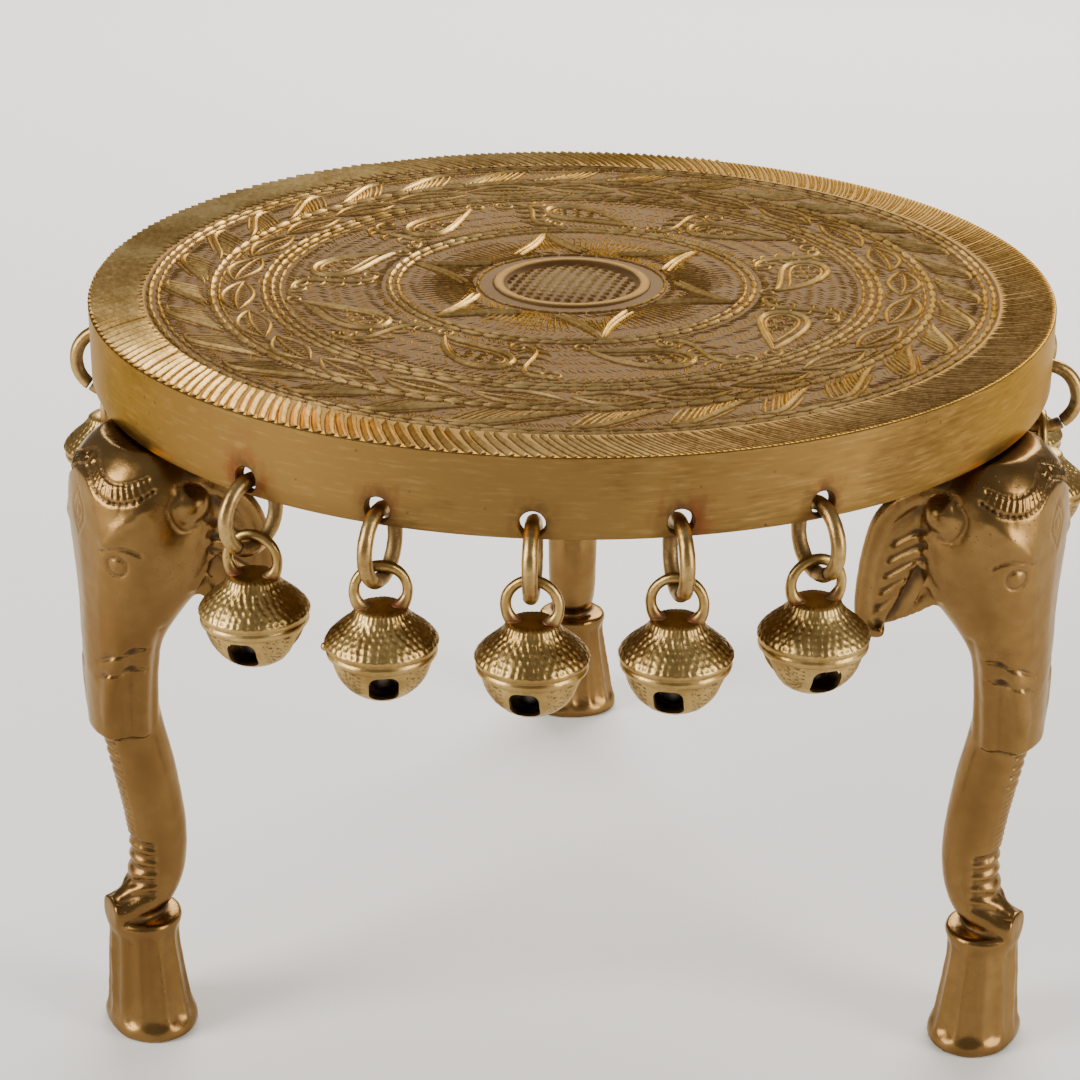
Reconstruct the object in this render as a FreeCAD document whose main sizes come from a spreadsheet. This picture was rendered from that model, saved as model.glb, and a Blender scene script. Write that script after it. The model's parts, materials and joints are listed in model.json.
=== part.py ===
"""A round cast-brass temple stool hung with crotal bells.

Millimetres, +Z up.  The origin is on the floor, on the vertical axis of the round top,
and -Y is the front.  Angles round the stool are measured from the front, and grow
towards +X.  Three elephant-head legs stand at 60, 180 and 300 degrees, and five bells
hang from the apron in each gap between two legs.  Every repeated piece is modelled once
at the front and then turned round the stool's axis to its own place.
"""
import FreeCAD, Part
import os
import re
import Sketcher

DRIVERS = [
    ("PlateDiameter", 200.0), ("StoolHeight", 150.0),
    ("ApronDepth", 16.7), ("ApronThickness", 2.2), ("TopThickness", 3.5),
    ("TopEdgeBevel", 0.5), ("HoleDiameter", 4.8), ("HoleRise", 3.1),
    ("DrillLength", 8.0), ("DrillStart", 2.0),
    ("BossDiameter", 10.0), ("BossHeight", 5.0), ("BossRoot", 1.0),
    ("ScrewRadius", 76.0), ("ScrewSpacing", 14.0), ("ScrewDiameter", 4.0),
    ("ScrewHeadDiameter", 7.6), ("ScrewHeadHeight", 2.4), ("ScrewBite", 3.8),
    ("ScrewClearance", 0.1), ("ScrewTipRoom", 0.4), ("ScrewSlotWidth", 1.0),
    ("PadThickness", 4.5), ("PadWidth", 28.0), ("PadLength", 27.0), ("PadPlay", 0.4),
    ("NeckDepth", 7.6), ("NeckInset", 0.6), ("NeckWidth", 11.5), ("NeckLowWidth", 12.5),
    ("NeckDrop", 26.0), ("NeckRoot", 2.0),
    ("LinkRadius", 6.85), ("LinkWire", 2.9), ("LinkRise", 2.7), ("LinkGap", 4.0),
    ("LoopRadius", 4.9), ("LoopWire", 2.0), ("LoopPlay", 0.25), ("LoopCentre", 12.1),
    ("CrownRadius", 10.65), ("CrownHeight", 6.9), ("CrownCentre", 2.0),
    ("BowlRadius", 9.5), ("BeadRadius", 9.2), ("BeadWire", 1.5), ("BellWall", 1.2),
    ("NeckRadius", 6.3), ("NeckTopRadius", 4.7), ("NeckBottom", 6.6), ("NeckTop", 8.9),
    ("SlotWidth", 5.6), ("SlotTop", 1.5), ("SlotBottom", 8.9), ("SlotCorner", 1.6),
    ("SlotBarLength", 30.0),
    ("PelletDiameter", 6.4), ("PelletPlay", 0.15),
]

# Gaps between the legs, and the five hand-drilled bell places within each gap.
GAPS = {"front": 0.0, "right": 120.0, "left": 240.0}
BELL_ANGLES = [-36.2, -19.7, -3.2, 12.1, 28.0]
# How far each bell has turned on its link away from facing straight out.
BELL_TURNS = {"front": [25.0, 26.0, -5.0, -22.0, -13.0],
              "right": [4.0, -11.0, -22.0, 17.0, 9.0],
              "left": [-19.0, 7.0, 24.0, 14.0, -3.0]}
# How far the crown and the bowl run past each other, in degrees of their ellipsoids.
CROWN_SKIRT = -22.0
BOWL_SKIRT = 5.0
# How far the two screws of a leg have been turned home, one each way.
SCREW_TURN = 35.0
LEGS = {"right": 60.0, "back": 180.0, "left": 300.0}

Z_AXIS = FreeCAD.Vector(0, 0, 1)
X_AXIS = FreeCAD.Vector(1, 0, 0)
Y_AXIS = FreeCAD.Vector(0, 1, 0)

doc = FreeCAD.newDocument("TempleStool")
sheet = doc.addObject("Spreadsheet::Sheet", "Sizes")
for row, (alias, value) in enumerate(DRIVERS, start=1):
    sheet.set(f"A{row}", alias)
    sheet.set(f"B{row}", str(value))
    sheet.setAlias(f"B{row}", alias)
doc.recompute()


def size(alias):
    """One driving dimension, read back from the sheet."""
    return float(sheet.get(alias))


def bind(thing, **sizes):
    """Tie properties of a document object to expressions on the sheet."""
    for name, expression in sizes.items():
        thing.setExpression(name, expression)
    return thing


def cell(text):
    """Write an expression with bare aliases; each one is looked up on the sheet."""
    aliases = {alias for alias, _ in DRIVERS}

    def look_up(match):
        word = match.group(0)
        return "Sizes." + word if word in aliases else word

    return re.sub(r"[A-Za-z]\w*", look_up, text)


def primitive(kind, name, place=None, **sizes):
    """A Part primitive with its sizes bound to the sheet."""
    thing = doc.addObject("Part::" + kind, name)
    if place is not None:
        thing.Placement = place
    return bind(thing, **{key: cell(value) for key, value in sizes.items()})


def fuse(name, pieces):
    """One solid made of several."""
    thing = doc.addObject("Part::MultiFuse", name)
    thing.Shapes = pieces
    thing.Refine = True
    return thing


def cut(name, base, tool):
    """The base with the tool taken away."""
    thing = doc.addObject("Part::Cut", name)
    thing.Base = base
    thing.Tool = tool
    thing.Refine = True
    return thing


def turned(angle, position=FreeCAD.Vector(0, 0, 0)):
    """A placement turned by an angle about the stool's axis."""
    spin = FreeCAD.Rotation(Z_AXIS, angle)
    return FreeCAD.Placement(spin.multVec(position), spin)


# ---- the round top, with its apron, screw bosses and bell holes -------------------

def add_line(sketch, start, end):
    """One straight edge of a sketch."""
    line = Part.LineSegment(FreeCAD.Vector(*start, 0), FreeCAD.Vector(*end, 0))
    return sketch.addGeometry(line, False)


def plate_casting():
    """The turned top: a disc with a shallow apron, open underneath."""
    body = doc.addObject("PartDesign::Body", "PlateBody")
    sketch = body.newObject("Sketcher::SketchObject", "PlateSection")
    planes = {feature.Role: feature for feature in body.Origin.OriginFeatures}
    sketch.AttachmentSupport = [(planes["XZ_Plane"], "")]
    sketch.MapMode = "FlatFace"
    radius = size("PlateDiameter") / 2
    top = size("StoolHeight")
    edge = top - size("ApronDepth")
    under = top - size("TopThickness")
    inner = radius - size("ApronThickness")
    bevel = size("TopEdgeBevel")
    points = [(0, under), (inner, under), (inner, edge), (radius, edge),
              (radius, top - bevel), (radius - bevel, top), (0, top)]
    for index, point in enumerate(points):
        add_line(sketch, point, points[(index + 1) % len(points)])
    for index in range(len(points)):
        following = (index + 1) % len(points)
        sketch.addConstraint(Sketcher.Constraint("Coincident", index, 2, following, 1))
    for index in (0, 2, 5):
        sketch.addConstraint(Sketcher.Constraint("Horizontal", index))
    for index in (1, 3):
        sketch.addConstraint(Sketcher.Constraint("Vertical", index))
    origin = (-1, 1)
    named = [
        ("AxisLow", "DistanceX", origin, (0, 1), 0.0, None),
        ("AxisHigh", "DistanceX", origin, (6, 1), 0.0, None),
        ("Top", "DistanceY", origin, (6, 1), top, "StoolHeight"),
        ("Under", "DistanceY", origin, (0, 1), under, "StoolHeight - TopThickness"),
        ("Edge", "DistanceY", origin, (2, 2), edge, "StoolHeight - ApronDepth"),
        ("Radius", "DistanceX", origin, (3, 1), radius, "PlateDiameter / 2"),
        ("Inner", "DistanceX", origin, (1, 1), inner, "PlateDiameter / 2 - ApronThickness"),
        ("BevelUp", "DistanceY", (4, 1), (4, 2), bevel, "TopEdgeBevel"),
        ("BevelIn", "DistanceX", (4, 2), (4, 1), bevel, "TopEdgeBevel"),
    ]
    for name, kind, first, second, value, expression in named:
        index = sketch.addConstraint(Sketcher.Constraint(kind, *first, *second, value))
        sketch.renameConstraint(index, name)
        if expression:
            sketch.setExpression("Constraints." + name, cell(expression))
    turning = body.newObject("PartDesign::Revolution", "PlateTurning")
    turning.Profile = sketch
    turning.ReferenceAxis = (sketch, ["V_Axis"])
    turning.Angle = 360.0
    return body


def screw_places():
    """Where the leg screws stand, as angle, radius and sideways offset."""
    for angle in LEGS.values():
        for side in (-1, 1):
            yield angle, FreeCAD.Vector(side * size("ScrewSpacing") / 2,
                                        -size("ScrewRadius"), 0)


def engraved_plate():
    """The top with two bosses for each leg and a row of holes for the bells' links."""
    pieces = [plate_casting()]
    holes = []
    under = size("StoolHeight") - size("TopThickness")
    for number, (angle, place) in enumerate(screw_places(), start=1):
        low = FreeCAD.Vector(place.x, place.y, under - size("BossHeight"))
        pieces.append(primitive("Cylinder", f"Boss{number}", turned(angle, low),
                                Radius="BossDiameter / 2", Height="BossHeight + BossRoot"))
        holes.append(primitive("Cylinder", f"BossHole{number}", turned(angle, low),
                               Radius="(ScrewDiameter + ScrewClearance) / 2",
                               Height="ScrewBite + ScrewTipRoom"))
    edge = size("StoolHeight") - size("ApronDepth")
    height = edge + size("HoleRise")
    start = FreeCAD.Vector(0, -size("PlateDiameter") / 2 - size("DrillStart"), height)
    radial = FreeCAD.Rotation(X_AXIS, -90)
    for gap, middle in GAPS.items():
        for number, angle in enumerate(BELL_ANGLES, start=1):
            spin = FreeCAD.Rotation(Z_AXIS, middle + angle)
            place = FreeCAD.Placement(spin.multVec(start), spin.multiply(radial))
            holes.append(primitive("Cylinder", f"LinkHole_{gap}_{number}", place,
                                   Radius="HoleDiameter / 2", Height="DrillLength"))
    whole = fuse("PlateWithBosses", pieces)
    return cut("EngravedPlate", whole, fuse("PlateHoles", holes))


# ---- one leg: an elephant's head on a curled trunk, standing on a foot ------------

# Level sections down the head and the upper trunk: distance below the top, distance of
# the middle from the stool's axis, half depth in and out, half width.
HEAD = [(17.2, 95.0, 10.0, 12.0), (23.0, 96.0, 14.0, 15.5), (34.0, 96.5, 14.4, 16.6),
        (46.0, 97.6, 13.0, 14.6), (57.0, 100.6, 10.0, 11.2), (67.0, 102.8, 7.8, 8.6),
        (80.0, 103.4, 7.2, 7.6)]
# Sections square to the lower trunk: the same four sizes, then the lean outwards.
TRUNK = [(79.0, 102.0, 6.3, 6.5, -8.0), (92.0, 99.4, 6.4, 6.3, -8.0),
         (105.0, 97.8, 6.1, 6.1, -2.0), (114.0, 98.3, 6.0, 6.0, 16.0),
         (119.6, 101.2, 5.2, 5.6, 48.0), (121.9, 105.4, 4.3, 4.9, 78.0),
         (122.0, 109.6, 3.4, 4.0, 95.0)]
FOOT = [(123.5, 101.6, 7.4, 8.0), (129.0, 101.8, 7.6, 8.6), (144.0, 101.4, 8.8, 10.8),
        (150.0, 101.2, 9.6, 11.8)]
# Outline of one ear seen from the side: distance from the stool's axis, below the top.
EAR = [(93.0, 23.5), (84.0, 26.0), (76.5, 31.0), (72.5, 41.0), (70.6, 52.0),
       (73.0, 59.0), (79.0, 55.5), (86.0, 50.5), (93.0, 46.0)]
EAR_INNER_FACE = 11.5
EAR_OUTER_FACE = 15.2


def oval(drop, middle, deep, wide, lean=0.0):
    """An oval section of the leg, square to a path that leans outwards by an angle."""
    centre = FreeCAD.Vector(0, -middle, size("StoolHeight") - drop)
    tilt = FreeCAD.Rotation(X_AXIS, -lean)
    along = tilt.multVec(FreeCAD.Vector(0, -1, 0))
    across = X_AXIS
    long_axis, short_axis = (along, across) if deep >= wide else (across, along)
    long_size, short_size = max(deep, wide), min(deep, wide)
    curve = Part.Ellipse(centre + long_axis * long_size, centre + short_axis * short_size,
                         centre)
    return Part.Wire([curve.toShape()])


def leg_casting():
    """The whole leg at the front, as one solid."""
    top = size("StoolHeight")
    pad_top = top - size("TopThickness") - size("BossHeight")
    pad_low = pad_top - size("PadThickness")
    wide = size("PadWidth")
    outer = size("PlateDiameter") / 2 - size("ApronThickness") - size("PadPlay")
    inner = outer - size("PadLength")
    pad = Part.makeBox(wide, size("PadLength"), size("PadThickness"),
                       FreeCAD.Vector(-wide / 2, -outer, pad_low))
    pad = pad.common(Part.makeCylinder(outer, size("PadThickness"),
                                       FreeCAD.Vector(0, 0, pad_low)))
    deep = size("NeckDepth")
    middle = outer - deep - size("NeckInset")
    neck_drop = top - pad_low - size("NeckRoot")
    neck = Part.makeLoft([oval(neck_drop, middle, deep, size("NeckWidth")),
                          oval(size("NeckDrop"), middle, deep, size("NeckLowWidth"))], True)
    head = Part.makeLoft([oval(*section) for section in HEAD], True)
    trunk = Part.makeLoft([oval(*section) for section in TRUNK], True)
    foot = Part.makeLoft([oval(*section) for section in FOOT], True)
    leg = pad.fuse([neck, head, trunk, foot])
    corners = [FreeCAD.Vector(0, -out, top - drop) for out, drop in EAR]
    flap = Part.Face(Part.makePolygon(corners + corners[:1]))
    for side in (-1, 1):
        shifted = flap.translated(FreeCAD.Vector(side * EAR_INNER_FACE, 0, 0))
        ear = shifted.extrude(X_AXIS * side * (EAR_OUTER_FACE - EAR_INNER_FACE))
        leg = leg.fuse(ear)
    hole_radius = (size("ScrewDiameter") + size("ScrewClearance")) / 2
    for side in (-1, 1):
        low = FreeCAD.Vector(side * size("ScrewSpacing") / 2, -size("ScrewRadius"),
                             pad_low - 1)
        leg = leg.cut(Part.makeCylinder(hole_radius, size("PadThickness") + 2, low))
    print("leg pad from", round(inner, 2), "to", round(outer, 2), "mm from the axis")
    return leg.removeSplitter()


def leg_screw():
    """A slotted pan-head screw, head down, with its seat at the origin."""
    shank = primitive("Cylinder", "ScrewShank", None, Radius="ScrewDiameter / 2",
                      Height="PadThickness + ScrewBite")
    head = primitive("Cylinder", "ScrewHead",
                     FreeCAD.Placement(FreeCAD.Vector(0, 0, 0),
                                       FreeCAD.Rotation(X_AXIS, 180)),
                     Radius="ScrewHeadDiameter / 2", Height="ScrewHeadHeight")
    slot_place = FreeCAD.Vector(-size("ScrewHeadDiameter"), -size("ScrewSlotWidth") / 2,
                                -size("ScrewHeadHeight") * 1.5)
    slot = primitive("Box", "ScrewSlot", FreeCAD.Placement(slot_place, FreeCAD.Rotation()),
                     Length="ScrewHeadDiameter * 2", Width="ScrewSlotWidth",
                     Height="ScrewHeadHeight")
    return cut("ScrewPattern", fuse("ScrewSolid", [shank, head]), slot)


# ---- one bell: link, cast shell with its crown loop, and the loose pellet ---------

def link_pattern():
    """The bent wire link, a ring in the radial plane with its ends nearly closed."""
    return primitive("Torus", "LinkPattern", None, Radius1="LinkRadius",
                     Radius2="LinkWire / 2", Angle3="360 - LinkGap")


def rounded_slot(name, turn):
    """A bar with rounded long corners that cuts two facing sound slots."""
    bar = primitive("Box", name + "Bar", None, Length="SlotBarLength", Width="SlotWidth",
                    Height="SlotBottom - SlotTop")
    doc.recompute()
    soft = doc.addObject("Part::Fillet", name)
    soft.Base = bar
    radius = size("SlotCorner")
    long_edges = [number for number, edge in enumerate(bar.Shape.Edges, start=1)
                  if abs(edge.tangentAt(edge.FirstParameter).x) > 0.9]
    soft.Edges = [(number, radius, radius) for number in long_edges]
    spin = FreeCAD.Rotation(Z_AXIS, turn)
    corner = FreeCAD.Vector(-size("SlotBarLength") / 2, -size("SlotWidth") / 2,
                            -size("SlotBottom"))
    soft.Placement = FreeCAD.Placement(spin.multVec(corner), spin)
    return soft


def shell_pattern():
    """The cast bell shell, its bead level with the origin and two slots through it."""
    def level(height):
        return FreeCAD.Placement(FreeCAD.Vector(0, 0, height), FreeCAD.Rotation())

    crown_level = level(size("CrownCentre"))
    crown = primitive("Ellipsoid", "Crown", crown_level, Radius1="CrownHeight",
                      Radius2="CrownRadius", Radius3="CrownRadius")
    crown.Angle1 = CROWN_SKIRT
    bowl = primitive("Ellipsoid", "Bowl", level(0), Radius1="BowlRadius",
                     Radius2="BowlRadius", Radius3="BowlRadius")
    bowl.Angle2 = BOWL_SKIRT
    bead = primitive("Torus", "Bead", level(0), Radius1="BeadRadius",
                     Radius2="BeadWire / 2")
    neck = primitive("Cone", "Neck", level(size("NeckBottom")), Radius1="NeckRadius",
                     Radius2="NeckTopRadius", Height="NeckTop - NeckBottom")
    upright = FreeCAD.Rotation(X_AXIS, 90)
    loop_place = FreeCAD.Placement(FreeCAD.Vector(0, 0, size("LoopCentre")), upright)
    loop = primitive("Torus", "CrownLoop", loop_place, Radius1="LoopRadius",
                     Radius2="LoopWire / 2")
    outside = fuse("ShellOutside", [crown, bowl, bead, neck, loop])
    hollow_top = primitive("Ellipsoid", "HollowTop", crown_level,
                           Radius1="CrownHeight - BellWall",
                           Radius2="CrownRadius - BellWall",
                           Radius3="CrownRadius - BellWall")
    hollow_top.Angle1 = CROWN_SKIRT
    hollow_low = primitive("Ellipsoid", "HollowLow", level(0),
                           Radius1="BowlRadius - BellWall",
                           Radius2="BowlRadius - BellWall",
                           Radius3="BowlRadius - BellWall")
    hollow_low.Angle2 = BOWL_SKIRT
    hollow = fuse("ShellHollow", [hollow_top, hollow_low])
    slots = [rounded_slot("SlotFront", 90.0), rounded_slot("SlotSide", 0.0)]
    cast = cut("ShellCast", outside, hollow)
    return cut("ShellPattern", cast, fuse("ShellSlots", slots))


# ---- the finished nodes ------------------------------------------------------------

finished = []


def node(label, shape, place):
    """One named piece: a pattern's shape set down at its own place."""
    thing = doc.addObject("Part::Feature", label)
    thing.Label = label
    thing.Shape = shape
    thing.Placement = place
    finished.append(thing)
    return thing


plate = engraved_plate()
plate.Label = "engraved_plate"
finished.append(plate)

screw = leg_screw()
link = link_pattern()
shell = shell_pattern()
pellet = primitive("Sphere", "PelletPattern", None, Radius="PelletDiameter / 2")
doc.recompute()

# Heights and the radius at which the bells hang.
apron_edge = size("StoolHeight") - size("ApronDepth")
hang_radius = (size("PlateDiameter") - size("ApronThickness")) / 2
link_top = apron_edge + size("LinkRise")
link_centre = link_top - size("LinkRadius")
link_bottom = link_centre - size("LinkRadius")
loop_inside_top = link_bottom + size("LinkWire") / 2 + size("LoopPlay")
loop_centre = loop_inside_top + size("LoopWire") / 2 - size("LoopRadius")
bell_centre = loop_centre - size("LoopCentre")
pellet_drop = (size("BowlRadius") - size("BellWall") - size("PelletDiameter") / 2
               - size("PelletPlay"))
print("link hinge at", round(link_top, 3), "bell hinge at", round(link_bottom, 3))
print("bell centre at", round(bell_centre, 3), "hanging at radius", hang_radius)
print("pellet centre", round(bell_centre - pellet_drop, 3))

leg_shape = leg_casting()
for side, angle in LEGS.items():
    node(side + "_leg", leg_shape, turned(angle))

pad_low = (size("StoolHeight") - size("TopThickness") - size("BossHeight")
           - size("PadThickness"))
for side, angle in LEGS.items():
    pair = []
    for offset in (-1, 1):
        seat = FreeCAD.Vector(offset * size("ScrewSpacing") / 2, -size("ScrewRadius"),
                              pad_low)
        single = screw.Shape.copy()
        spin = FreeCAD.Rotation(Z_AXIS, SCREW_TURN * offset)
        single.Placement = FreeCAD.Placement(seat, spin)
        pair.append(single)
    node(side + "_leg_screws", Part.makeCompound(pair), turned(angle))

# The ring pattern lies flat, so it is stood up in the radial plane, open end outwards.
stand_up = FreeCAD.Rotation(Y_AXIS, 90).multiply(FreeCAD.Rotation(Z_AXIS, 180 + 90))
for gap, middle in GAPS.items():
    turns = BELL_TURNS[gap]
    for number, (angle, turn) in enumerate(zip(BELL_ANGLES, turns), start=1):
        name = f"{gap}_bell_{number}"
        spin = FreeCAD.Rotation(Z_AXIS, middle + angle)
        hang = spin.multVec(FreeCAD.Vector(0, -hang_radius, 0))
        facing = FreeCAD.Rotation(Z_AXIS, middle + angle + turn)
        node(name + "_link", link.Shape,
             FreeCAD.Placement(hang + Z_AXIS * link_centre, spin.multiply(stand_up)))
        node(name + "_shell", shell.Shape,
             FreeCAD.Placement(hang + Z_AXIS * bell_centre, facing))
        node(name + "_pellet", pellet.Shape,
             FreeCAD.Placement(hang + Z_AXIS * (bell_centre - pellet_drop), facing))

doc.recompute()
for thing in doc.Objects:
    if "Invalid" in thing.State or "Error" in thing.State:
        raise RuntimeError(f"{thing.Label} failed: {thing.State}")
os.makedirs("parts", exist_ok=True)
for thing in finished:
    shape = thing.Shape
    if shape.isNull() or not shape.isValid():
        raise RuntimeError(f"{thing.Label} has no valid shape")
    shape.exportStep(f"parts/{thing.Label}.step")
print(len(finished), "nodes written")
for name in ("engraved_plate", "left_leg", "front_bell_1_shell", "front_bell_1_link"):
    shape = next(thing for thing in finished if thing.Label == name).Shape
    box = shape.BoundBox
    print(name, "volume", round(shape.Volume, 1), "solids", len(shape.Solids), "box",
          [round(value, 2) for value in (box.XMin, box.YMin, box.ZMin,
                                         box.XMax, box.YMax, box.ZMax)])
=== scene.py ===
# %% [markdown]
# # A bell-hung brass temple stool
# A round cast-brass stool stands on three elephant-head legs. Its top is chased all over,
# and fifteen small bells swing from wire links round its apron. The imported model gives
# the places of all the pieces; this script gives each of them its real surface.
# Every length below is written in millimetres and turned to metres by one factor.

# %% Load the frame
import json
import math
import random

import bpy
import numpy as np
from mathutils import Euler, Matrix, Vector, kdtree, noise


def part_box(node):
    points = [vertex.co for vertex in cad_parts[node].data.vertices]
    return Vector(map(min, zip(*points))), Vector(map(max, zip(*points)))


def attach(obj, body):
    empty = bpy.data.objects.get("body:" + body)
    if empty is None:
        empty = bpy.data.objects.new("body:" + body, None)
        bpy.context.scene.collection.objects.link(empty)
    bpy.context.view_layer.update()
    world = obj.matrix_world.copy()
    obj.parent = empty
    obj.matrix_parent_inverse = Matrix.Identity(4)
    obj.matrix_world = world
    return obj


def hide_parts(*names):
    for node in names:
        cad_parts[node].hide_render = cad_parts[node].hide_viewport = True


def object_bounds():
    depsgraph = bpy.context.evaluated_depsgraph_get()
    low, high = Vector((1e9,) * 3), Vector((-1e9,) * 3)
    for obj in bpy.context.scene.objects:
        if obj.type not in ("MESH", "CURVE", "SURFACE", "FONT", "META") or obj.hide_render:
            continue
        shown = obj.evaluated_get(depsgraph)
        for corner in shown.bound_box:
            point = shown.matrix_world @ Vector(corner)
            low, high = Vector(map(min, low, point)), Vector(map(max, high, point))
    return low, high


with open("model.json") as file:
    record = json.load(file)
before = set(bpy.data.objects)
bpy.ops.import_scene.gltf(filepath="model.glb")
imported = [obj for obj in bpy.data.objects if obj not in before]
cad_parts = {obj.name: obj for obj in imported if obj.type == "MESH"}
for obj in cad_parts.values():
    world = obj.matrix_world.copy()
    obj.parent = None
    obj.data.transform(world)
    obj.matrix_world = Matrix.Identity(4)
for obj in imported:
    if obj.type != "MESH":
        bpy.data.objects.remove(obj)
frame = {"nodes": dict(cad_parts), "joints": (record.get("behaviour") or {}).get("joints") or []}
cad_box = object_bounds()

MM = 0.001
TOP = cad_box[1][2] / MM
print("stool", [round((high - low) / MM, 1) for low, high in zip(*cad_box)], "mm")

# %% [markdown]
# ## Where the moving pieces are
# The joints of the frame say where each bell hangs. A link's hinge is the middle of its
# wire in the hole, a shell's hinge is the wire that carries it, and a pellet's hinge is
# the centre of the bowl. Reading them here keeps every number in one place, the frame.

# %% Read the bells' places
JOINTS = {joint["name"]: joint for joint in frame["joints"]}
BELLS = sorted(name[:-len("_link")] for name in frame["nodes"] if name.endswith("_link"))
LEGS = sorted(name for name in frame["nodes"] if name.endswith("_leg"))


def joint_place(name):
    """A joint's point in millimetres."""
    return Vector(JOINTS[name]["pos_m"]) / MM


def joint_axis(name):
    """A joint's axis as a unit vector."""
    return Vector(JOINTS[name]["axis"]).normalized()


HANG_RADIUS = joint_place(BELLS[0] + "_link_swing").to_2d().length
PLATE_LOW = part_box("engraved_plate")[0].z / MM
PLATE_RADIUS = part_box("engraved_plate")[1].x / MM
print(len(BELLS), "bells at radius", round(HANG_RADIUS, 2), "and", len(LEGS), "legs")

# %% [markdown]
# ## Camera
# The stool is seen from a little above and in front, with a long lens, so that the top
# is a narrow ellipse and the near bells hang below its edge. The camera is placed by a
# position, a downward tilt and a small turn, the way a tripod head is set.

# %% Set up the camera
camera_data = bpy.data.cameras.new("camera")
camera = bpy.data.objects.new("camera", camera_data)
bpy.context.scene.collection.objects.link(camera)
camera_data.sensor_width = 36.0
camera_data.lens = 92.9
camera_data.clip_end = 20.0
tilt_down, turn_left, roll = 0.408, 0.021, 0.0062
aim = Euler((math.pi / 2 - tilt_down, 0.0, turn_left)).to_matrix().to_4x4()
stand = Matrix.Translation(Vector((5.4, -555.9, TOP + 180.6)) * MM)
camera.matrix_world = stand @ aim @ Matrix.Rotation(roll, 4, "Z")
bpy.context.scene.camera = camera
print("camera lens", camera_data.lens, "mm")

# %% [markdown]
# ## Helpers for modelling by operators
# Operators act on whatever is selected, so each step starts from a clean selection and
# picks its own object. A finished piece keeps its object at the origin and its place in
# its mesh, like the nodes of the frame, so that patterns stay put on it.

# %% Selection helpers
ops = bpy.ops


def nothing_selected():
    """Leave every object alone."""
    if bpy.context.object and bpy.context.object.mode != "OBJECT":
        ops.object.mode_set(mode="OBJECT")
    ops.object.select_all(action="DESELECT")


def pick(*things):
    """Select these objects only, the first one active."""
    nothing_selected()
    for thing in things:
        thing.select_set(True)
    bpy.context.view_layer.objects.active = things[0]
    return things[0]


def settle(thing, name):
    """Put an object's place into its mesh and give it its name."""
    pick(thing)
    ops.object.transform_apply(location=True, rotation=True, scale=True)
    thing.name = name
    thing.data.name = name
    return thing


def apply_modifier(thing, kind, **settings):
    """Add one modifier, set it and apply it."""
    pick(thing)
    modifier = thing.modifiers.new(kind.title(), kind)
    for key, value in settings.items():
        setattr(modifier, key, value)
    ops.object.modifier_apply(modifier=modifier.name)
    return thing


def smooth(thing, degrees=35):
    """Smooth shading with edges kept where the surface turns sharply."""
    pick(thing)
    ops.object.shade_smooth_by_angle(angle=math.radians(degrees))
    return thing


def own_copy(pattern, name, place):
    """A copy with its own mesh, moved by a matrix that goes into the mesh."""
    thing = bpy.data.objects.new(name, pattern.data.copy())
    bpy.context.scene.collection.objects.link(thing)
    thing.data.transform(place)
    thing.data.name = name
    return thing


def join(things, name):
    """Several objects as one."""
    pick(*things)
    if len(things) > 1:
        ops.object.join()
    joined = bpy.context.view_layer.objects.active
    joined.name = name
    joined.data.name = name
    return joined


def faces_of(thing):
    """How many faces a piece has."""
    return len(thing.data.polygons)


# %% [markdown]
# ## Turning on a lathe
# The stool's top and the bells are turned shapes. A lathe in Blender starts with one
# vertex, extrudes it along the outline of the section, and spins that line about the
# axis. The outline is a short list of radius and height pairs.

# %% The lathe
def turned(name, outline, steps):
    """Spin an outline of (radius, height) pairs about the vertical axis."""
    nothing_selected()
    ops.mesh.primitive_plane_add(size=1.0, location=(0, 0, 0))
    piece = bpy.context.object
    ops.object.mode_set(mode="EDIT")
    ops.mesh.select_all(action="SELECT")
    ops.mesh.merge(type="CENTER")
    here = Vector((outline[0][0], 0, outline[0][1])) * MM
    ops.transform.translate(value=here)
    for radius, height in outline[1:]:
        there = Vector((radius, 0, height)) * MM
        ops.mesh.extrude_region_move(TRANSFORM_OT_translate={"value": there - here})
        here = there
    ops.mesh.select_all(action="SELECT")
    ops.mesh.spin(steps=steps, angle=math.tau, center=(0, 0, 0), axis=(0, 0, 1))
    ops.mesh.select_all(action="SELECT")
    ops.mesh.remove_doubles(threshold=0.00001)
    ops.mesh.normals_make_consistent(inside=False)
    ops.object.mode_set(mode="OBJECT")
    return settle(piece, name)


def arc(centre, radius, start, end, count):
    """Points on an arc of a section, angles in degrees from straight out."""
    points = []
    for step in range(count + 1):
        angle = math.radians(start + (end - start) * step / count)
        points.append((centre[0] + radius * math.cos(angle),
                       centre[1] + radius * math.sin(angle)))
    return points


# %% [markdown]
# ## The turned top
# The top is one casting: a disc with a shallow apron. On the lathe it gets a border at
# nearly full height, a lower ground where the motifs stand, and a domed boss inside a
# heavy ring. The rim keeps a crisp corner above and a softened one below. The ground is
# cut a little under the frame's top, so that the raised work ends level with it.

# %% Turn the top
GROUND = TOP - 1.15
BORDER_GROUND = TOP - 0.75
BORDER_IN = 88.6
WALL = 2.2


def rim_edge():
    """The outer wall from the top corner down and round the lower edge."""
    outer, low = PLATE_RADIUS, PLATE_LOW
    return [(outer - 0.25, BORDER_GROUND), (outer, BORDER_GROUND - 0.2),
            (outer, low + 9.0), (outer, low + 4.0), (outer, low + 0.7),
            (outer - 0.2, low + 0.2), (outer - 0.7, low)]


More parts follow.
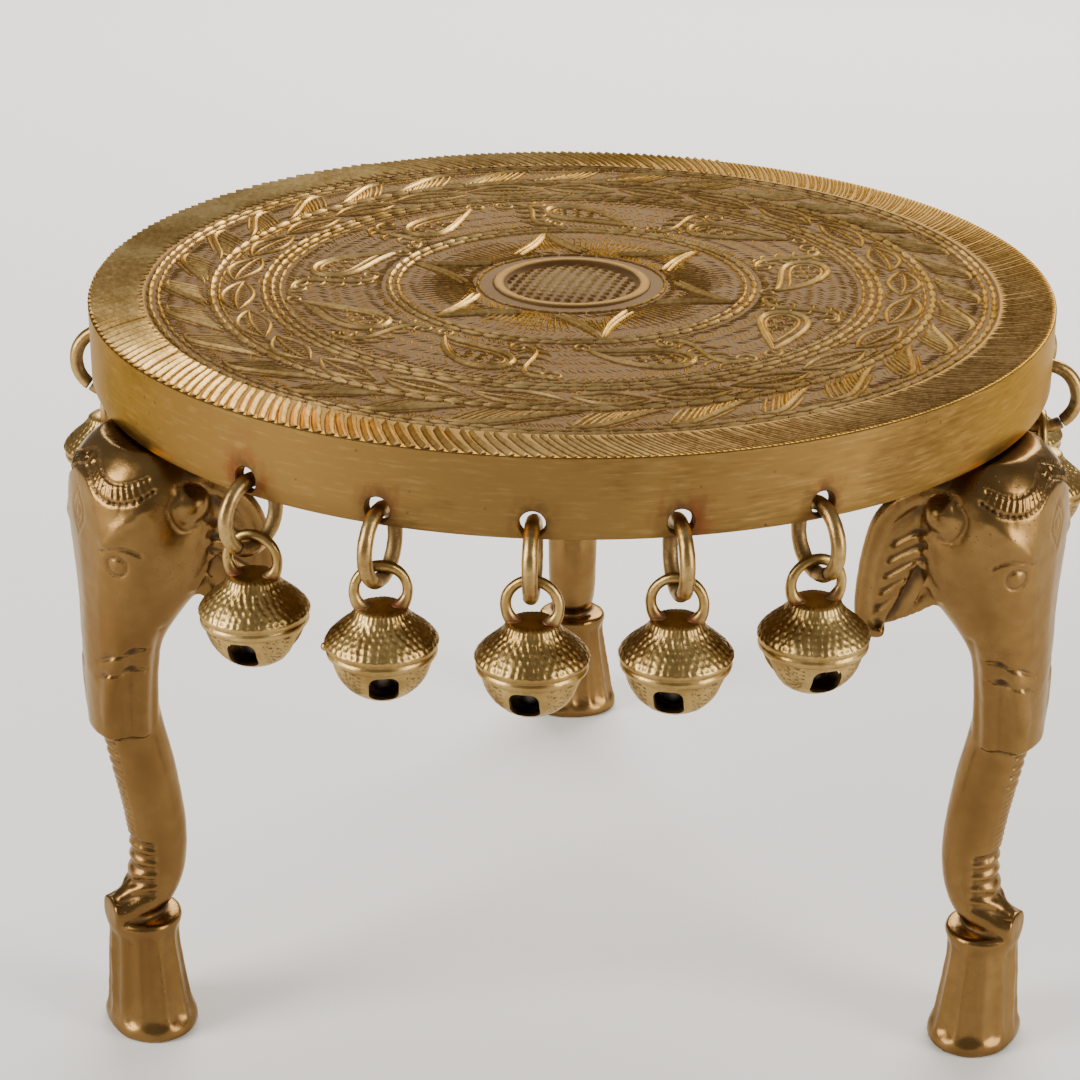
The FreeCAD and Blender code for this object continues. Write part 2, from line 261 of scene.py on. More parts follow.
def top_outline():
    """The section of the top, from the middle of the boss round to underneath."""
    boss = arc((0, GROUND + 0.5 - 87.0), 87.0, 90, 81.3, 7)
    ring = arc((15.3, GROUND), 1.25, 172, 8, 8)
    ring = [(radius, GROUND + (height - GROUND) * 0.5) for radius, height in ring]
    outer = [(18.6, GROUND - 0.1), (30.0, GROUND), (48.0, GROUND), (68.0, GROUND),
             (BORDER_IN - 0.5, GROUND), (BORDER_IN, BORDER_GROUND),
             (94.0, BORDER_GROUND)]
    inner = PLATE_RADIUS - WALL
    under = TOP - 3.5
    inside = [(inner + 0.3, PLATE_LOW + 0.15), (inner, PLATE_LOW + 0.7),
              (inner, PLATE_LOW + 8.0), (inner, under - 1.2), (inner - 0.4, under - 0.4),
              (inner - 1.2, under), (60.0, under), (0.0, under)]
    return boss + ring + outer + rim_edge() + inside


plate = turned("engraved_top", top_outline(), 360)
print("turned top", faces_of(plate), "faces")

# %% [markdown]
# The links pass through holes drilled by hand near the lower edge. A Boolean modifier
# takes a cylinder away for each hole, with a wider cone at its mouth where years of
# swinging have worn the lip. The bosses for the leg screws are cylinders underneath.

# %% Drill the holes and add the bosses
def drill(place, axis, radius, length):
    """A cylinder along an axis, used as a drill."""
    turn = axis.to_track_quat("Z", "Y").to_euler()
    ops.mesh.primitive_cylinder_add(vertices=28, radius=radius * MM, depth=length * MM,
                                    location=place * MM, rotation=turn)
    return bpy.context.object


def worn_mouth(place, axis, radius):
    """A shallow cone that widens a hole at the outer face."""
    turn = axis.to_track_quat("Z", "Y").to_euler()
    ops.mesh.primitive_cone_add(vertices=28, radius1=(radius - 0.35) * MM,
                                radius2=(radius + 0.75) * MM, depth=1.1 * MM,
                                location=place * MM, rotation=turn)
    return bpy.context.object


HOLE_RADIUS = 2.4
HOLE_HEIGHT = PLATE_LOW + 3.1
nothing_selected()
cutters = []
for bell in BELLS:
    outward = joint_axis(bell + "_shell_swing")
    place = outward * HANG_RADIUS
    place.z = HOLE_HEIGHT
    cutters.append(drill(place, outward, HOLE_RADIUS, 8.0))
    mouth = outward * (PLATE_RADIUS - 0.1)
    mouth.z = HOLE_HEIGHT
    cutters.append(worn_mouth(mouth, outward, HOLE_RADIUS))
bit = join(cutters, "drill")
apply_modifier(plate, "BOOLEAN", operation="DIFFERENCE", object=bit, solver="EXACT",
               use_self=True)
bpy.data.objects.remove(bit)

bosses = []
for screws in sorted(name for name in frame["nodes"] if name.endswith("_leg_screws")):
    low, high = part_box(screws)
    middle = (low + high) / 2 / MM
    outward = Vector((middle.x, middle.y, 0)).normalized()
    side = Vector((-outward.y, outward.x, 0))
    for offset in (-7.0, 7.0):
        centre = outward * 76.0 + side * offset
        ops.mesh.primitive_cylinder_add(vertices=32, radius=5.0 * MM, depth=5.2 * MM,
                                        location=(centre.x * MM, centre.y * MM,
                                                  (TOP - 3.5 - 2.4) * MM))
        bosses.append(bpy.context.object)
plate = join([plate] + bosses, "engraved_top")
smooth(plate, 32)
print("drilled top", faces_of(plate), "faces")

# %% [markdown]
# ## Chasing
# Chased work is drawn on the metal with punches: every line stands up between two dark
# furrows, swells where the punch was pressed and thins where it was lifted. A curve
# object draws such lines well. Each stroke is one short spline, the radius of its points
# gives the swelling, and the curve's bevel gives the round back of the line. Converting
# the curve to a mesh and pressing it flatter sets all strokes on the ground at once.

# %% The chasing tool
dice = random.Random(7)


def polar(radius, degrees):
    """A point of the top. Zero degrees is the front, and angles grow to the right."""
    angle = math.radians(degrees)
    return Vector((radius * math.sin(angle), -radius * math.cos(angle), 0))


class Chasing:
    """Collects strokes on one level of the top and turns them into one mesh."""

    def __init__(self, name, level, press=1.0, facets=0, bold=1.0):
        self.name, self.level, self.press = name, level, press
        self.curve = bpy.data.curves.new(name, "CURVE")
        self.curve.dimensions = "3D"
        self.curve.twist_mode = "Z_UP"
        self.curve.bevel_depth = 0.5 * bold * MM
        self.curve.bevel_resolution = facets
        self.curve.use_fill_caps = True

    def stroke(self, points, width, ends=(0.35, 0.35), lift=0.0):
        """One line through these points, as wide as asked and thinner at its ends."""
        spline = self.curve.splines.new("POLY")
        spline.points.add(len(points) - 1)
        last = len(points) - 1
        for number, (knot, point) in enumerate(zip(spline.points, points)):
            height = (self.level + lift) / self.press
            knot.co = (point.x * MM, point.y * MM, (height + point.z) * MM, 1)
            along = number / last
            start = min(1.0, ends[0] + along * 4)
            stop = min(1.0, ends[1] + (1 - along) * 4)
            knot.radius = width * start * stop

    def finish(self):
        """The strokes as a mesh, pressed flatter towards the ground."""
        thing = bpy.data.objects.new(self.name, self.curve)
        bpy.context.scene.collection.objects.link(thing)
        pick(thing)
        ops.object.convert(target="MESH")
        thing = bpy.context.object
        thing.data.transform(Matrix.Diagonal((1, 1, self.press, 1)))
        smooth(thing, 50)
        thing.name = thing.data.name = self.name
        print(self.name, faces_of(thing), "faces")
        return thing


def wobble(amount):
    """The small slip of a hand-held punch."""
    return dice.uniform(-amount, amount)


class Band:
    """A ring of the top in which motifs are drawn along and across."""

    def __init__(self, work, inner, outer):
        self.work, self.inner, self.outer = work, inner, outer
        self.middle = (inner + outer) / 2
        self.length = math.tau * self.middle

    def place(self, along, across):
        """Millimetres along the middle line and out from the inner edge."""
        return polar(self.inner + across, math.degrees(along / self.middle))

    def stroke(self, points, width, ends=(0.35, 0.35), lift=0.0):
        """A stroke given as (along, across) pairs."""
        placed = [self.place(*point) for point in points]
        self.work.stroke(placed, width, ends, lift)


def ring_of_dashes(work, radius, width, dash=(3.0, 5.0), gap=0.25, slip=0.05):
    """A ring struck dash by dash."""
    angle = 0.0
    while angle < 360:
        length = math.degrees(dice.uniform(*dash) / radius)
        length = min(length, 360 - angle)
        place = radius + wobble(slip)
        steps = max(2, round(length / 1.2))
        points = [polar(place, angle + length * n / steps) for n in range(steps + 1)]
        work.stroke(points, width * dice.uniform(0.92, 1.08), (0.55, 0.55))
        angle += length + math.degrees(gap / radius)


def bow(start, end, bulge, count=6):
    """Points from start to end that swing sideways by bulge in the middle."""
    (u0, v0), (u1, v1) = start, end
    length = math.hypot(u1 - u0, v1 - v0) or 1.0
    side = (-(v1 - v0) / length, (u1 - u0) / length)
    points = []
    for number in range(count + 1):
        t = number / count
        swing = bulge * math.sin(math.pi * t)
        points.append((u0 + (u1 - u0) * t + side[0] * swing,
                       v0 + (v1 - v0) * t + side[1] * swing))
    return points


# %% [markdown]
# ## The border
# Slanting bars run all round between the rim and a double ring. They were cut by eye:
# broad and deep over one half of the stool, where their ends notch the rim, and fine and
# close over the other half. One function gives the pitch for every direction.

# %% Chase the border
def bar_pitch(degrees):
    """The distance between two bars at a direction, in millimetres."""
    broad, fine = 2.45, 1.02
    turn = (degrees + 180) % 360 - 180
    if -150 < turn < -8:
        return broad
    if 14 < turn < 160:
        return fine
    if turn <= 14 and turn >= -8:
        return broad + (fine - broad) * (turn + 8) / 22
    return 1.7


border = Chasing("border_bars", BORDER_GROUND - 0.10, press=0.95)
angle, lean = 0.0, 4.0
while angle < 360:
    pitch = bar_pitch(angle) * dice.uniform(0.9, 1.1)
    tilt = lean + wobble(0.25)
    inner, outer = BORDER_IN + 0.4 + wobble(0.15), PLATE_RADIUS - 0.42
    points = [polar(inner + (outer - inner) * t, angle + tilt * (t ** 1.15 - 1))
              for t in (0, 0.12, 0.4, 0.7, 0.92, 1.0)]
    broad = pitch > 1.4
    border.stroke(points, pitch * (0.8 if broad else 0.74),
                  (0.5, 0.9) if broad else (0.4, 0.6))
    angle += math.degrees(pitch / 94.0)
border_bars = border.finish()

# %% Strike the rings
rings = Chasing("ring_beads", GROUND - 0.05, press=0.9, bold=1.3)
for radius, width in ((87.5, 1.25), (85.7, 1.05), (74.9, 1.5), (73.3, 0.7),
                      (64.2, 1.15), (62.4, 1.2), (60.7, 0.8), (38.1, 1.2), (36.3, 1.0),
                      (19.5, 0.6)):
    ring_of_dashes(rings, radius, width)
ring_beads = rings.finish()

# %% [markdown]
# ## The leaf bands
# The outer band is a rope of leaves. Each leaf starts in a dark notch at the outer ring,
# swings across the band in a flat S and ends at the inner ring. Strokes slant from its
# midrib to the inner ring, and the corner below it is filled with fine cross hatching.

# %% Chase the outer leaf band
def smoothstep(t):
    """A soft step from 0 to 1."""
    t = min(1.0, max(0.0, t))
    return t * t * (3 - 2 * t)


def hatch_patch(band, corner, size, pitch, slant, width, lift=0.0):
    """Fine parallel strokes that fill a small patch of a band."""
    (u0, v0), (wide, high) = corner, size
    count = max(1, round(wide / pitch))
    for number in range(count):
        u = u0 + wide * (number + 0.5) / count + wobble(pitch * 0.12)
        band.stroke([(u - slant / 2, v0), (u, v0 + high / 2), (u + slant / 2, v0 + high)],
                    width, lift=lift)


outer_work = Chasing("outer_leaf_band", GROUND - 0.08, press=0.92, bold=1.22)
outer_band = Band(outer_work, 75.7, 85.2)
HIGH = outer_band.outer - outer_band.inner
along = 0.0
while along < outer_band.length - 6:
    leaf = dice.uniform(14.5, 18.5)
    leaf = outer_band.length - along if outer_band.length - along < leaf + 8 else leaf
    reach = leaf * 1.14
    rib = []
    for number in range(13):
        t = number / 12
        dip = 0.9 * math.sin(math.pi * min(1, t * 2.2)) * (t < 0.46)
        rib.append((along + reach * t,
                    HIGH - 1.1 - (HIGH - 2.0) * smoothstep((t - 0.1) / 0.9) + dip * 0.4))
    outer_band.stroke(rib, 1.2, (0.25, 0.2), lift=0.1)
    under = [(u + 0.5, v + 1.35) for u, v in rib[3:10]]
    outer_band.stroke(under, 0.75, (0.3, 0.2))
    strokes = round(leaf / 1.25)
    for number in range(strokes):
        t = (number + 0.6) / strokes
        spot = t * 12
        low, part = int(spot), spot - int(spot)
        high = min(12, low + 1)
        u = rib[low][0] + (rib[high][0] - rib[low][0]) * part
        v = rib[low][1] + (rib[high][1] - rib[low][1]) * part
        rise = v - 0.5
        if rise > 1.0:
            outer_band.stroke(bow((u + 0.3, v - 0.5), (u + rise * 0.62 + 0.5, 0.45),
                                  wobble(0.2) - 0.35, 4), 0.86, (0.8, 0.3))
    hatch_patch(outer_band, (along + reach * 0.5, HIGH - 2.9), (leaf * 0.42, 2.3),
                0.72, 1.1, 0.42)
    hatch_patch(outer_band, (along + reach * 0.5, HIGH - 2.9), (leaf * 0.42, 2.3),
                1.2, -1.3, 0.32)
    along += leaf
outer_leaf_band = outer_work.finish()

# %% [markdown]
# The inner band is simpler: long pointed leaves follow one another, each with an outline,
# a midrib and slanting strokes on both sides, and a pair of small curls between two tips.

# %% Chase the inner leaf band
inner_work = Chasing("inner_leaf_band", GROUND - 0.08, press=0.92)
inner_band = Band(inner_work, 65.0, 72.7)
HIGH = inner_band.outer - inner_band.inner
along = 0.0
while along < inner_band.length - 6:
    leaf = dice.uniform(15.0, 19.5)
    leaf = inner_band.length - along if inner_band.length - along < leaf + 9 else leaf
    middle = HIGH / 2
    tip = (along + leaf * 1.02, middle + 1.6)
    root = (along + 0.8, middle - 0.6)
    inner_band.stroke(bow(root, tip, -HIGH * 0.40, 10), 1.05, (0.4, 0.3), lift=0.1)
    inner_band.stroke(bow(root, tip, HIGH * 0.44, 10), 1.05, (0.4, 0.3), lift=0.1)
    inner_band.stroke(bow(root, tip, 0.5, 8), 0.8, (0.5, 0.2), lift=0.1)
    strokes = round(leaf / 1.35)
    for number in range(strokes):
        t = (number + 0.5) / strokes
        half = math.sin(math.pi * t)
        u = root[0] + (tip[0] - root[0]) * t
        v = root[1] + (tip[1] - root[1]) * t
        for side, spread in ((-1, 0.38), (1, 0.42)):
            reach = HIGH * spread * half - 0.7
            if reach > 0.6:
                inner_band.stroke([(u, v + side * 0.3), (u + reach * 0.4, v + side * reach * 0.5),
                                   (u + reach * 0.95, v + side * reach)], 0.62, (0.7, 0.4))
    for side in (-1, 1):
        foot = (along + leaf - 0.6, middle + side * (HIGH / 2 - 0.6))
        inner_band.stroke(bow(foot, (foot[0] + 4.2, middle + side * 1.4), side * 1.2, 6), 0.7)
        inner_band.stroke(bow((foot[0] - 2.6, foot[1]), (foot[0] + 1.6, middle + side * 2.6),
                              side * 0.8, 5), 0.55)
    along += leaf
inner_leaf_band = inner_work.finish()

# %% [markdown]
# ## The mango band
# Between the leaf bands and the star runs a wide band of mango drops, the bent drop of
# Indian brass and textile work. Each drop is a closed outline with a smaller one inside,
# rows of scallops fill its belly, and an S-shaped tendril with short leaves leads on to
# the next drop, which stands the other way up.

# %% Chase the mango band
def mango(centre, long, wide, flip, count=26):
    """The outline of a bent drop, its tip turned over to one side."""
    u0, v0 = centre
    points = []
    for number in range(count + 1):
        t = math.tau * number / count
        body = (1 - math.cos(t)) / 2
        u = long * (body - 0.42)
        v = wide * 0.5 * math.sin(t) * (body ** 0.55)
        bend = (1 - body) ** 2 * wide * 0.62
        points.append((u0 + u, v0 + flip * (v + bend)))
    return points


def spiral(centre, radius, start, turns, count=12):
    """A curl that winds inwards."""
    points = []
    for number in range(count + 1):
        t = number / count
        angle = start + turns * math.tau * t
        reach = radius * (1 - 0.82 * t)
        points.append((centre[0] + reach * math.cos(angle), centre[1] + reach * math.sin(angle)))
    return points


mango_work = Chasing("mango_band", GROUND - 0.08, press=0.9, bold=1.4)
mango_band = Band(mango_work, 39.2, 60.0)
HIGH = mango_band.outer - mango_band.inner
UNITS = 9
for unit in range(UNITS):
    flip = 1 if unit % 2 else -1
    pitch = mango_band.length / UNITS
    start = unit * pitch + wobble(0.6)
    centre = (start + pitch * 0.36, HIGH / 2 - flip * 1.2)
    mango_band.stroke(mango(centre, 20.0, 13.5, flip), 1.1, (0.5, 0.5), lift=0.1)
    mango_band.stroke(mango((centre[0] + 1.0, centre[1]), 15.4, 9.2, flip), 0.75, (0.5, 0.5))
    for row, (shift, half) in enumerate(((7.4, 2.6), (4.4, 3.4), (1.3, 3.0), (-1.6, 1.9))):
        arches = 3 if half > 2.2 else 2
        for number in range(arches):
            side = (number - (arches - 1) / 2) * (2 * half / arches)
            spot = (centre[0] + shift, centre[1] + side + flip * 0.5)
            mango_band.stroke(bow((spot[0] - 0.3, spot[1] - half / arches * 0.9),
                                  (spot[0] - 0.3, spot[1] + half / arches * 0.9), -1.4, 5), 0.62)
            mango_band.stroke([(spot[0] - 0.4, spot[1]), (spot[0] + 0.6, spot[1] + wobble(0.1))],
                              0.5, (0.9, 0.6))
    belly = mango(centre, 23.2, 16.6, flip, 40)
    for number in range(4, 37):
        if number % 2 == 0:
            outer_point, inner_point = belly[number], mango(centre, 20.8, 14.4, flip, 40)[number]
            mango_band.stroke([inner_point, outer_point], 0.55, (0.9, 0.5))
    tip = mango(centre, 20.0, 13.5, flip)[0]
    mango_band.stroke(spiral((tip[0] - 1.6, tip[1] + flip * 1.2), 2.3, -flip * 0.4, flip * 1.15),
                      0.8, (0.6, 0.5))
    stem = start + pitch * 0.70
    tendril = []
    for number in range(15):
        t = number / 14
        tendril.append((stem + 9.0 * t - 1.5 + 2.2 * math.sin(math.tau * t),
                        HIGH / 2 + flip * (HIGH / 2 - 1.5) * math.cos(math.pi * t)))
    mango_band.stroke(tendril, 1.0, (0.4, 0.4), lift=0.08)
    for number in range(2, 13, 2):
        u, v = tendril[number]
        for side in (-1, 1):
            away = (u + side * 3.6, v - flip * 1.9 + wobble(0.3))
            mango_band.stroke(bow((u + side * 0.5, v), away, side * flip * 0.8, 5), 0.72,
                              (0.8, 0.25))
            mango_band.stroke(bow((u + side * 0.7, v + flip * 0.7),
                                  (u + side * 3.0, v - flip * 0.4), side * flip * 0.5, 4), 0.45)
    for side in (-1, 1):
        curl = (stem + 3.0 + side * 4.2, HIGH / 2 - side * flip * (HIGH / 2 - 3.0))
        mango_band.stroke(spiral(curl, 2.5, math.pi / 2 * side, 1.2 * flip), 0.8, (0.5, 0.5))
    for edge in (0.5, HIGH - 0.5):
        toward = 1 if edge < HIGH / 2 else -1
        for number in range(round(pitch / 1.35)):
            u = start + (number + 0.5) * 1.35 + wobble(0.15)
            tall = 1.5 + 0.6 * math.sin(u * 0.9)
            mango_band.stroke([(u, edge), (u + 0.5, edge + toward * tall * 0.6),
                               (u + 1.1, edge + toward * tall)], 0.5, (0.8, 0.3))
mango_strokes = mango_work.finish()

# %% [markdown]
# ## The chiselled ground
# Nowhere was the ground between the motifs left smooth. Rows of short slanting cuts
# cover it like feathers, every row leaning the other way. They are low, so that the
# motifs chased on top of them still stand out.

# %% Chisel the ground
ground_work = Chasing("chiselled_ground", GROUND - 0.1, press=0.62)
for row, inner in enumerate(np.arange(20.4, 85.6, 2.35)):
    lean = math.copysign(1.5, (-1) ** row) + wobble(0.3)
    count = round(math.tau * inner / (0.95 + 0.2 * (row % 3)))
    for number in range(count):
        if dice.random() < 0.07:
            continue
        turn = 360 * (number + wobble(0.22)) / count
        swing = math.degrees(lean * dice.uniform(0.8, 1.2) / inner)
        low, high = inner + wobble(0.3), inner + 2.35 * dice.uniform(0.8, 1.1)
        ground_work.stroke([polar(low, turn), polar((low + high) / 2, turn + swing * 0.35),
                            polar(high, turn + swing)], dice.uniform(0.62, 0.92), (0.5, 0.35))
chiselled_ground = ground_work.finish()

# %% [markdown]
# ## The star and the boss
# Round the boss lies a six-pointed star. Every petal is made of two ribbons that start
# together at the petal's tip and part on their way in, and each ribbon is two lines with
# a furrow between them. Strokes fanned out from the boss fill the ground behind. The
# boss itself is a low dome, crossed by furrows that leave a grid of small studs.

# %% Chase the star
star_work = Chasing("star", GROUND - 0.08, press=0.85, bold=1.55)
for petal in range(6):
    tip = 11.0 + 60.0 * petal + wobble(0.8)
    for turn, foot_radius, swing in ((-15.0, 21.0, -2.2), (21.0, 21.6, 2.6)):
        point, foot = polar(35.2, tip), polar(foot_radius, tip + turn)
        away = (foot - point).normalized()
        side = Vector((-away.y, away.x, 0)) * (1 if turn > 0 else -1)
        for offset, width, lift in ((0.0, 0.95, 0.14), (1.45, 0.8, 0.1), (2.7, 0.45, 0.0)):
            path = []
            for number in range(9):
                t = number / 8
                bend = side * (swing * math.sin(math.pi * t) * (1 if turn > 0 else -1))
                path.append(point + (foot - point) * t + bend * 0.35 - side * offset * (0.35 + t * 0.65))
            star_work.stroke(path, width, (0.3, 0.7), lift=lift)
    for number in range(9):
        spread = (number - 4) * 1.9
        inner, outer = 24.0 + wobble(0.5), 33.0 - abs(number - 4) * 0.9
        if abs(spread) < 6.5:
            path = [polar(inner + (outer - inner) * t, tip + 2.0 + spread * (1.25 - 0.85 * t))
                    for t in (0, 0.5, 1)]
            star_work.stroke(path, 0.55, (0.5, 0.3))
    for number in range(17):
        spot = tip + 30.0 + (number - 8) * 2.6
        reach = 34.6 - 5.5 * smoothstep(abs(number - 8) / 11)
        path = [polar(19.9 + 0.4 * abs(number - 8) ** 0.5, spot - 1.5), polar(27.0, spot),
                polar(reach, spot + 1.2)]
        if abs(number - 8) < 8:
            star_work.stroke(path, 0.5, (0.6, 0.3))
star_lines = star_work.finish()

# %% Set the studs of the boss
stud_work = Chasing("boss_studs", 0.0, press=0.85)
PITCH = 2.15
rows = range(-7, 8)
for row in rows:
    for place in rows:
        spot = Vector((row * PITCH * 0.97 + place * PITCH * 0.26,
                       place * PITCH * 0.97 - row * PITCH * 0.26, 0))
        if spot.length > 13.2:
            continue
        dome = GROUND + 0.5 - 87.0 + math.sqrt(87.0 ** 2 - spot.length_squared)
        length = Vector((PITCH * 0.31, -PITCH * 0.09, 0))
        stud_work.stroke([spot - length, spot - length * 0.4, spot + length * 0.4,
                          spot + length], 1.62, (0.5, 0.5), lift=dome - 0.2)
boss_studs = stud_work.finish()


# %% [markdown]
# ## Shaping by vertices
# Hammered and punched surfaces need thousands of small moves, too many to make by hand.
# These helpers read a mesh's vertices and normals into arrays, move them all at once and
# write them back. `cavity` measures how hollow the surface is at every vertex, which
# later tells the material where dirt would have gathered.

# %% Vertex helpers
def vertices_of(thing):
    """The vertices of a mesh in millimetres."""
    places = np.empty(len(thing.data.vertices) * 3)
    thing.data.vertices.foreach_get("co", places)
    return places.reshape(-1, 3) / MM


def normals_of(thing):
    """The vertex normals of a mesh."""
    normals = np.empty(len(thing.data.vertices) * 3)
    thing.data.vertices.foreach_get("normal", normals)
    return normals.reshape(-1, 3)


def put_vertices(thing, places):
    """Write vertices, given in millimetres, back to the mesh."""
    thing.data.vertices.foreach_set("co", (places * MM).ravel())
    thing.data.update()


def store(thing, name, numbers):
    """Keep one number for every vertex on the mesh."""
    layer = thing.data.attributes.get(name) or thing.data.attributes.new(name, "FLOAT", "POINT")
    layer.data.foreach_set("value", np.asarray(numbers, dtype=np.float32))


def soft_step(numbers, start, stop):
    """A soft step from 0 at start to 1 at stop, for whole arrays."""
    share = np.clip((numbers - start) / (stop - start), 0, 1)
    return share * share * (3 - 2 * share)


def neighbour_mean(thing, numbers, rounds):
    """Numbers on the vertices, averaged with their neighbours several times."""
    edges = np.empty(len(thing.data.edges) * 2, dtype=int)
    thing.data.edges.foreach_get("vertices", edges)
    first, second = edges.reshape(-1, 2).T
    count = np.bincount(edges, minlength=len(numbers)).astype(float)
    flat = numbers.reshape(len(numbers), -1)
    for _ in range(rounds):
        total = np.empty_like(flat)
        for column in range(flat.shape[1]):
            total[:, column] = (np.bincount(first, flat[second, column], len(flat))
                                + np.bincount(second, flat[first, column], len(flat)))
        flat = (flat + total) / (1 + count)[:, None]
    return flat.reshape(numbers.shape)


def cavity(thing, name, reach, scale):
    """Store how far each vertex lies below its surroundings, from 0 to 1."""
    places = vertices_of(thing)
    around = neighbour_mean(thing, places, reach)
    depth = ((around - places) * normals_of(thing)).sum(1)
    depth = neighbour_mean(thing, depth, 1)
    store(thing, name, np.clip(depth / scale, 0, 1))


def rough_field(places, size, seed):
    """Soft noise from -1 to 1 at many places, its bumps about as wide as size."""
    shift = Vector((seed * 7.3, seed * 3.1, seed * 5.7))
    return np.array([noise.noise(Vector(place) / size + shift) for place in places])


# %% [markdown]
# ## The bell pattern
# A crotal bell is cast in two halves that meet at the bead. One outline turned on the
# lathe gives the outside, the wall and the hollow. Two crossing bars with rounded
# corners cut the four sound slots. A ring makes the crown loop, thicker at its root.

# %% Turn the bell
BELL_OUTSIDE = [(0.0, -9.42), (1.6, -9.3)]
for step in range(1, 27):
    angle = math.radians(-78 + 70 * step / 26)
    BELL_OUTSIDE.append((9.45 * math.cos(angle), 9.45 * math.sin(angle)))
BELL_OUTSIDE += [(9.42, -1.0), (9.62, -0.82), (9.98, -0.6), (10.24, -0.3), (10.34, 0.05),
                 (10.34, 0.38), (10.22, 0.64), (10.08, 0.84), (10.1, 1.02)]
CROWN_KNOTS = [(10.34, 1.3), (10.54, 1.75), (10.5, 2.2), (10.2, 2.75), (9.7, 3.35),
               (9.1, 3.98), (8.42, 4.6), (7.72, 5.18), (7.05, 5.72), (6.45, 6.25),
               (5.92, 6.8), (5.48, 7.4), (5.15, 8.0), (4.9, 8.6), (4.3, 8.92)]
for (r0, z0), (r1, z1) in zip(CROWN_KNOTS, CROWN_KNOTS[1:]):
    BELL_OUTSIDE += [(r0, z0), ((r0 + r1) / 2, (z0 + z1) / 2)]
BELL_OUTSIDE += [(4.3, 8.95), (2.4, 9.05), (0.0, 9.1)]
bell = turned("bell_pattern", BELL_OUTSIDE, 192)

BELL_INSIDE = ([(0.0, -8.3)] + arc((0, 0), 8.3, -80, -4, 14)
               + [(8.6, 0.4), (9.1, 1.0), (9.25, 1.5), (9.1, 2.1), (8.4, 2.9), (7.4, 3.8),
                  (6.2, 4.75), (4.6, 5.6), (2.3, 6.0), (0.0, 6.1)])
hollow = turned("bell_hollow", BELL_INSIDE, 64)
apply_modifier(bell, "BOOLEAN", operation="DIFFERENCE", object=hollow, solver="EXACT")
bpy.data.objects.remove(hollow)


def slot_bar(turn):
    """A bar with rounded long edges that cuts two facing slots."""
    nothing_selected()
    ops.mesh.primitive_cube_add(size=1.0, location=(0, 0, -4.45 * MM))
    bar = bpy.context.object
    bar.scale = Vector((24.0, 5.5, 5.9)) * MM
    settle(bar, "slot_bar")
    apply_modifier(bar, "BEVEL", width=1.7 * MM, segments=5, limit_method="NONE")
    bar.rotation_euler.z = turn
    return settle(bar, "slot_bar")


bars = join([slot_bar(0.0), slot_bar(math.pi / 2)], "slot_bars")
apply_modifier(bell, "BOOLEAN", operation="DIFFERENCE", object=bars, solver="EXACT",
               use_self=True)
bpy.data.objects.remove(bars)
print("bell shell", faces_of(bell), "faces")

# %% [markdown]
# The founder's punches cover the crown with rows of small rings and the bowl with wavy
# scales, and leave a smooth band along every slot. Each vertex looks up the nearest
# punch mark in its row and moves inwards by the mark's depth there.

# %% Punch the bell
def punched_rows(places, rows, across, mark_size, seed):
    """Depth of a dimple pattern, 1 in the middle of a mark and 0 between marks."""
    mixer = random.Random(seed)
    turn = np.arctan2(places[:, 1], places[:, 0])
    depth = np.zeros(len(places))
    rim = np.zeros(len(places))
    for number, (radius, height) in enumerate(rows):
        marks = max(6, round(math.tau * radius / across))
        start = mixer.uniform(0, 1)
        for mark_number in range(marks):
            angle = math.tau * (mark_number + start + mixer.uniform(-0.12, 0.12)) / marks
            centre = np.array([radius * math.cos(angle), radius * math.sin(angle),
                               height + mixer.uniform(-0.08, 0.08)])
            near = np.abs(np.angle(np.exp(1j * (turn - angle)))) < 1.4 * mark_size / radius
            away = np.linalg.norm(places[near] - centre, axis=1)
            depth[near] = np.maximum(depth[near], 1 - soft_step(away, mark_size * 0.3, mark_size))
            ring = np.exp(-((away - mark_size * 1.05) / (mark_size * 0.35)) ** 2)
            rim[near] = np.maximum(rim[near], ring)
    return depth, rim


places, normals = vertices_of(bell), normals_of(bell)
radius = np.hypot(places[:, 0], places[:, 1])
outward = (places * normals).sum(1) > 0
crown_rows = [(10.38, 2.55), (9.55, 3.52), (8.6, 4.42), (7.6, 5.28), (6.7, 6.02), (5.95, 6.76)]
depth, rim = punched_rows(places, crown_rows, 1.5, 0.56, 3)
on_crown = outward & (places[:, 2] > 1.7) & (radius > 5.2)
depth, rim = depth * on_crown, rim * on_crown
slot_away = np.minimum(np.abs(places[:, 0]), np.abs(places[:, 1])) - 2.75
on_bowl = outward & (places[:, 2] < -1.3) & (places[:, 2] > -8.6)
panel = soft_step(slot_away, 0.9, 1.7) * on_bowl
turn = np.arctan2(places[:, 1], places[:, 0])
wave = 0.32 * np.sin(turn * 26) + 0.2 * np.sin(turn * 41 + places[:, 2])
scale_rows = (places[:, 2] + wave) / 0.95
scales = 0.5 - 0.5 * np.cos(math.tau * scale_rows)
scale_depth = (scales ** 3) * panel
flutes = (0.5 + 0.5 * np.cos(turn * 34)) * outward * soft_step(places[:, 2], 7.1, 7.9) \
    * soft_step(radius, 3.9, 4.6)
grain = rough_field(places, 1.1, 2) * outward
move = -0.17 * depth + 0.10 * rim - 0.17 * scale_depth - 0.09 * flutes + 0.06 * grain
put_vertices(bell, places + normals * move[:, None])
darkening = np.clip(depth * 0.3 + scale_depth * 0.6 + flutes * 0.3, 0, 1)
# Painted shade: the whole inside of the shell is stored as fully hollow, so the inside of the bell renders dark.
inside = ~outward & (np.linalg.norm(places, axis=1) < 10.5)
store(bell, "hollow", np.maximum(darkening, inside))
loop_foot = np.hypot(np.abs(places[:, 0]) - 3.4, places[:, 1])
store(bell, "root", outward * soft_step(places[:, 2], 6.6, 8.4) * (1 - soft_step(loop_foot, 1.2, 2.6)))

